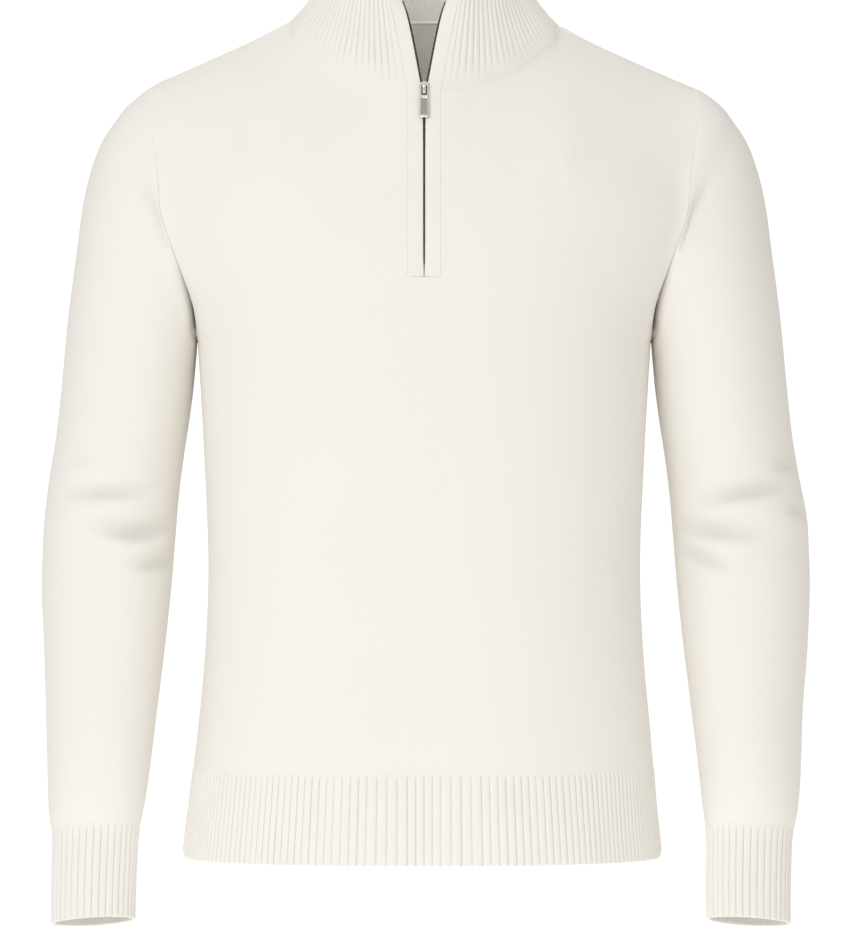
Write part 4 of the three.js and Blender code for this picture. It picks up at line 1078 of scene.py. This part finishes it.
def makeBand(side):
    start = fastener["sewnEdge"]
    ends = np.array([0, 0.12, 0.3, 0.6, 1, 1.6])

    def across(width):
        middle = np.linspace(2.6, fastener["bandWidth"] - 3.4, 5)
        return np.concatenate([np.tile(start + ends, (len(width), 1)), np.tile(start + middle, (len(width), 1)),
                               width[:, None] - ends[::-1]], axis=1)

    def turnIn(width):
        from0 = across(width) - start
        to1 = width[:, None] - across(width)
        return roundOff(from0, fastener["sewnRound"]) + roundOff(to1, fastener["freeRound"])

    def front(width):
        share = (across(width) - start) / (width[:, None] - start)
        return fastener["rise"] + fastener["crown"] * np.sin(np.pi * share) - turnIn(width)

    def back(width):
        return turnIn(width) - cloth["wall"]

    return makeStrip("zipBand", side, across, front, back, bandKnit)


def makeTape(side):
    inset = fastener["tapeInset"]
    front0 = -(cloth["wall"] + fastener["tapeGap"])
    shares = np.array([0, 0.03, 0.1, 0.3, 0.5, 0.7, 0.9, 0.97, 1])
    thin = np.array([0.3, 0.1, 0, 0, 0, 0, 0, 0.1, 0.3])

    def across(width):
        return inset + shares[None, :] * (width[:, None] - 2 * inset)

    def front(width):
        return np.tile(front0 - thin, (len(width), 1))

    def back(width):
        return np.tile(front0 - fastener["tapeWall"] + thin, (len(width), 1))

    return makeStrip("zipTape", side, across, front, back, tapeWeave)


bands = {side: makeBand(side) for side in ("left", "right")}
tapes = {side: makeTape(side) for side in ("left", "right")}
print("bands and tapes made")


# A small block in a frame of its own: its middle, its three directions and its three sizes
def addBlock(mesh, middle, directions, sizes):
    turn = Matrix([list(d) for d in directions]).transposed().to_4x4()
    place = Matrix.Translation(Vector(middle) * mm) @ turn @ Matrix.Diagonal((*(Vector(sizes) * mm), 1))
    bmesh.ops.create_cube(mesh, size=1, matrix=place)


def bevelSharp(mesh, width, segments):
    sharp = [e for e in mesh.edges if e.is_manifold and e.calc_face_angle(0) > math.radians(30)]
    bmesh.ops.bevel(mesh, geom=sharp, offset=width * mm, offset_type="OFFSET", segments=segments, profile=0.5,
                    affect="EDGES", clamp_overlap=True, material=-1)
    for face in mesh.faces:
        face.smooth = True
    for edge in mesh.edges:
        edge.smooth = not (edge.is_manifold and edge.calc_face_angle(0) > math.radians(40))


# Metal teeth in step on both sides: each has a head in the gap and a clamp behind the band on the tape's edge
def makeTeeth(side):
    points, out, inward, width = bandEdge()
    line = points + inward * width[:, None]
    run = np.concatenate([[0], np.cumsum(np.linalg.norm(np.diff(line, axis=0), axis=1))])
    first = np.interp(tooth["first"], line[:, 2], run)
    places = np.arange(first, run[-1] - tooth["topMargin"], tooth["pitch"])
    places += 0 if side == "left" else tooth["pitch"] / 2

    def read(values):
        return np.stack([np.interp(places, run, values[:, k]) for k in range(3)], axis=1)

    middles, outs, inwards = read(line), unit(read(out)), unit(read(inward))
    alongs = np.cross(inwards, outs)
    flip = np.array([1 if side == "left" else -1, 1, 1])
    mesh = bmesh.new()
    last = len(places) - 1
    for n, (middle, o, i, a) in enumerate(zip(middles, outs, inwards, alongs)):
        tall = tooth["height"] * (2.4 if n in (0, last) else 1)  # the end stops are longer
        reach = tooth["head"][1] + tooth["openReach"] * float(smoothStep(middle[2], -62, -45))
        blocks = ((tooth["head"][0], reach, tooth["headDepth"]), (*tooth["clamp"], tooth["clampDepth"]))
        for low, high, depth in blocks:
            spot = middle + i * (low + high) / 2 - o * sum(depth) / 2
            addBlock(mesh, spot * flip, (i * flip, a * flip, o * flip), (high - low, tall, depth[1] - depth[0]))
    bmesh.ops.recalc_face_normals(mesh, faces=mesh.faces[:])
    bevelSharp(mesh, tooth["bevel"], 2)
    return join(finishPiece("zipTeeth" + side.capitalize(), mesh, toothMetal))


teeth = {side: makeTeeth(side) for side in ("left", "right")}
print("teeth made")

# The opening's lower end is sewn across with a short row of stitches
endRow = {"from": -9.5, "to": 8.4, "count": 11, "radius": 0.42, "gap": 0.25, "height": 0.7}


def makeEndStitches():
    edge = sample(panels["front"], np.array([slotPlace - 0.02]), np.array([half + 0.5]))[0, 0]
    mesh = bmesh.new()
    length = (endRow["to"] - endRow["from"]) / endRow["count"]
    for n in range(endRow["count"]):
        middle = (endRow["from"] + (n + 0.5) * length, edge[1] - 0.1, edge[2] + endRow["height"])
        size = ((length - endRow["gap"]) / 2 * mm, endRow["radius"] * mm, endRow["radius"] * mm)
        place = Matrix.Translation(Vector(middle) * mm) @ Matrix.Rotation(0.06 * (-1) ** n, 4, "Y")
        bmesh.ops.create_uvsphere(mesh, u_segments=12, v_segments=8, radius=1,
                                  matrix=place @ Matrix.Diagonal((*size, 1)))
    for face in mesh.faces:
        face.smooth = True
    return join(finishPiece("zipEndStitches", mesh, thread))


endStitches = makeEndStitches()

# Slider and pull tab, in a frame that stands on the bands and leans back with them: across, out, up
hardware = {"height": -57.5, "out": 85.389, "slope": 19.3}
slider = {
    "clear": 0.35, "wall": 1, "bevel": 0.28,
    "plate": ((4, 5.9, 1.8), (-4, 5.9, 1.8), (-3, -5.6, 1.1), (3, -5.6, 1.1)),
    "neck": ((1.2, 5.4, 0.3), (-1.2, 5.4, 0.3), (-1.2, 3.1, 0.3), (1.2, 3.1, 0.3)),
    "bridge": ((5.7, 0.7, 0), (5.7, 4.25, 1), (0.5, 4.25, 1), (0.5, 0.7, 0)),
    "underBridge": ((4.7, 1.4, 0.3), (4.7, 3.45, 0.5), (1.5, 3.45, 0.5), (1.5, 1.4, 0.3)),
    "bridgeHalf": 1.4,
    "crown": ((1.35, 0.8, 0.3), (-1.35, 0.8, 0.3), (-1.35, -4.2, 0.6), (1.35, -4.2, 0.6)),
    "recess": ((2.6, 3.4, 0.4), (-2.6, 3.4, 0.4), (-2.4, -6.2, 0.4), (2.4, -6.2, 0.4)),
}
pull = {
    "from": 1.75, "to": 2.85, "sunk": 0.32, "bevel": 0.24,
    "rim": ((2.9, 4.1, 1.5), (-2.9, 4.1, 1.5), (-4, -24.5, 2.4), (4, -24.5, 2.4)),
    "window": ((2.1, 2.9, 0.8), (-2.1, 2.9, 0.8), (-2.1, -5.4, 1), (2.1, -5.4, 1)),
    "panel": ((2.3, -8, 0.9), (-2.3, -8, 0.9), (-2.7, -22.2, 1.2), (2.7, -22.2, 1.2)),
}


# Points round an outline, from corners of two places and a radius
def roundCorners(corners, parts=6):
    points = []
    for n, (x, y, radius) in enumerate(corners):
        here = Vector((x, y))
        before, after = Vector(corners[n - 1][:2]), Vector(corners[(n + 1) % len(corners)][:2])
        if radius == 0:
            points.append(here)
            continue
        a = here + (before - here).normalized() * radius
        b = here + (after - here).normalized() * radius
        for k in range(parts + 1):
            t = k / parts
            points.append(a * (1 - t) ** 2 + here * 2 * t * (1 - t) + b * t * t)
    return points


# A plate of an outline with holes through it, between two distances. Standing plates have theirs across.
def addPlate(mesh, corners, low, high, holes=(), standing=False):
    def place(p, distance):
        across, out, up = (distance, p[1], p[0]) if standing else (p[0], distance, p[1])
        return across * mm, -out * mm, up * mm

    edges = []
    for outline in (corners, *holes):
        ring = [mesh.verts.new(place(p, low)) for p in roundCorners(outline)]
        edges += [mesh.edges.new(pair) for pair in zip(ring, ring[1:] + ring[:1])]
    filled = bmesh.ops.triangle_fill(mesh, use_beauty=True, edges=edges)
    faces = [g for g in filled["geom"] if isinstance(g, bmesh.types.BMFace)]
    grown = bmesh.ops.extrude_face_region(mesh, geom=faces)
    moved = [g for g in grown["geom"] if isinstance(g, bmesh.types.BMVert)]
    shift = Vector(place((0, 0), high)) - Vector(place((0, 0), low))
    bmesh.ops.translate(mesh, verts=moved, vec=shift)
    return faces


def standOnBands(mesh):
    bmesh.ops.recalc_face_normals(mesh, faces=mesh.faces[:])
    place = Matrix.Translation((0, -hardware["out"] * mm, hardware["height"] * mm))
    lean = Matrix.Rotation(-math.radians(hardware["slope"]), 4, "X")
    bmesh.ops.transform(mesh, matrix=place @ lean, verts=mesh.verts[:])


def makeSlider():
    mesh = bmesh.new()
    clear, wall = slider["clear"], slider["wall"]
    behind = -(cloth["wall"] + fastener["rise"] + fastener["crown"] + fastener["tapeGap"] + fastener["tapeWall"])
    addPlate(mesh, slider["plate"], clear, clear + wall)
    addPlate(mesh, slider["plate"], behind - clear - wall, behind - clear)
    addPlate(mesh, slider["neck"], behind - clear - wall / 2, clear + wall / 2)
    reach = slider["bridgeHalf"]
    addPlate(mesh, slider["bridge"], -reach, reach, [slider["underBridge"]], standing=True)
    addPlate(mesh, slider["crown"], clear + wall / 2, pull["to"] + 0.3)
    bevelSharp(mesh, slider["bevel"], 3)
    plain = set(mesh.faces)
    # the recess plate is nearly black metal: painted shade
    addPlate(mesh, slider["recess"], clear + wall / 2, clear + wall + 0.06)
    for face in mesh.faces:
        face.material_index = int(face not in plain)
    standOnBands(mesh)
    piece = finishPiece("zipSlider", mesh, polishedMetal)
    piece.data.materials.append(shadedMetal)
    return join(piece, "zip_slider")


# The pull tab's rim is polished and its sunk panel brushed
def makePull():
    mesh = bmesh.new()
    addPlate(mesh, pull["rim"], pull["from"], pull["to"], [pull["window"], pull["panel"]])
    bevelSharp(mesh, pull["bevel"], 3)
    rimFaces = set(mesh.faces)
    wider = [(x + math.copysign(0.3, x), up + (0.3 if up > -15 else -0.3), r) for x, up, r in pull["panel"]]
    addPlate(mesh, wider, pull["from"] + 0.12, pull["to"] - pull["sunk"])
    for face in mesh.faces:
        if face not in rimFaces:
            face.material_index = 1
            face.smooth = False
    standOnBands(mesh)
    piece = finishPiece("pullTab", mesh, polishedMetal)
    piece.data.materials.append(brushedMetal)
    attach(piece, "pull_tab")
    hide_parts("zip_pull")
    return piece


zipSlider = makeSlider()
pullTab = makePull()
print("slider and pull tab made")

# Studio: a round white paper floor, two big soft lights at the front left and pale light all round

studio = {"floor": -1250, "floorRadius": 1400, "floorMiddle": 50, "glow": 0.5, "sky": 0.64, "seen": 1.1}


def makeFloor():
    mesh = bmesh.new()
    place = Matrix.Translation((0, studio["floorMiddle"] * mm, studio["floor"] * mm))
    bmesh.ops.create_circle(mesh, cap_ends=True, segments=96, radius=studio["floorRadius"] * mm, matrix=place)
    # Matt white paper, lit so evenly that it shows as plain white
    paper, tree, shader = startMaterial("whitePaper", {
        "Base Color": linearColour("#ffffff"), "Roughness": 1.0,
        "Emission Color": linearColour("#ffffff"), "Emission Strength": studio["glow"],
    })
    finishPiece("paperFloor", mesh, paper)


def makeLight(name, place, aim, size, watts, colour):
    light = bpy.data.lights.new(name, "AREA")
    light.shape = "DISK"
    light.size = size
    light.energy = watts
    light.color = linearColour(colour)[:3]
    lamp = bpy.data.objects.new(name, light)
    lamp.location = Vector(place)
    lamp.rotation_euler = (Vector(aim) - Vector(place)).to_track_quat("-Z", "Y").to_euler()
    scene.collection.objects.link(lamp)


makeFloor()
makeLight("keySoftbox", (-1.9, -3.1, 1.2), (0, 0, -0.35), 1.6, 25, "#f6faff")
makeLight("frontSoftbox", (-0.6, -3.9, 1.4), (0, 0, -0.35), 1.6, 29, "#f8fbff")
makeLight("topSoftbox", (0.1, -0.9, 2.3), (0, 0, 0), 1.2, 4, "#fffbf5")
sky = bpy.data.worlds.new("paleSky")
sky.use_nodes = True
# the studio's walls light the garment as pale grey and show behind it as plain white
seen = addNode(sky.node_tree, "ShaderNodeLightPath")
level = addNode(sky.node_tree, "ShaderNodeMapRange", {"Value": seen.outputs["Is Camera Ray"],
                                                      "To Min": studio["sky"], "To Max": studio["seen"]})
sky.node_tree.nodes["Background"].inputs[0].default_value = linearColour("#fffdfa")
sky.node_tree.links.new(level.outputs[0], sky.node_tree.nodes["Background"].inputs[1])
scene.world = sky
scene.view_settings.view_transform = "Standard"
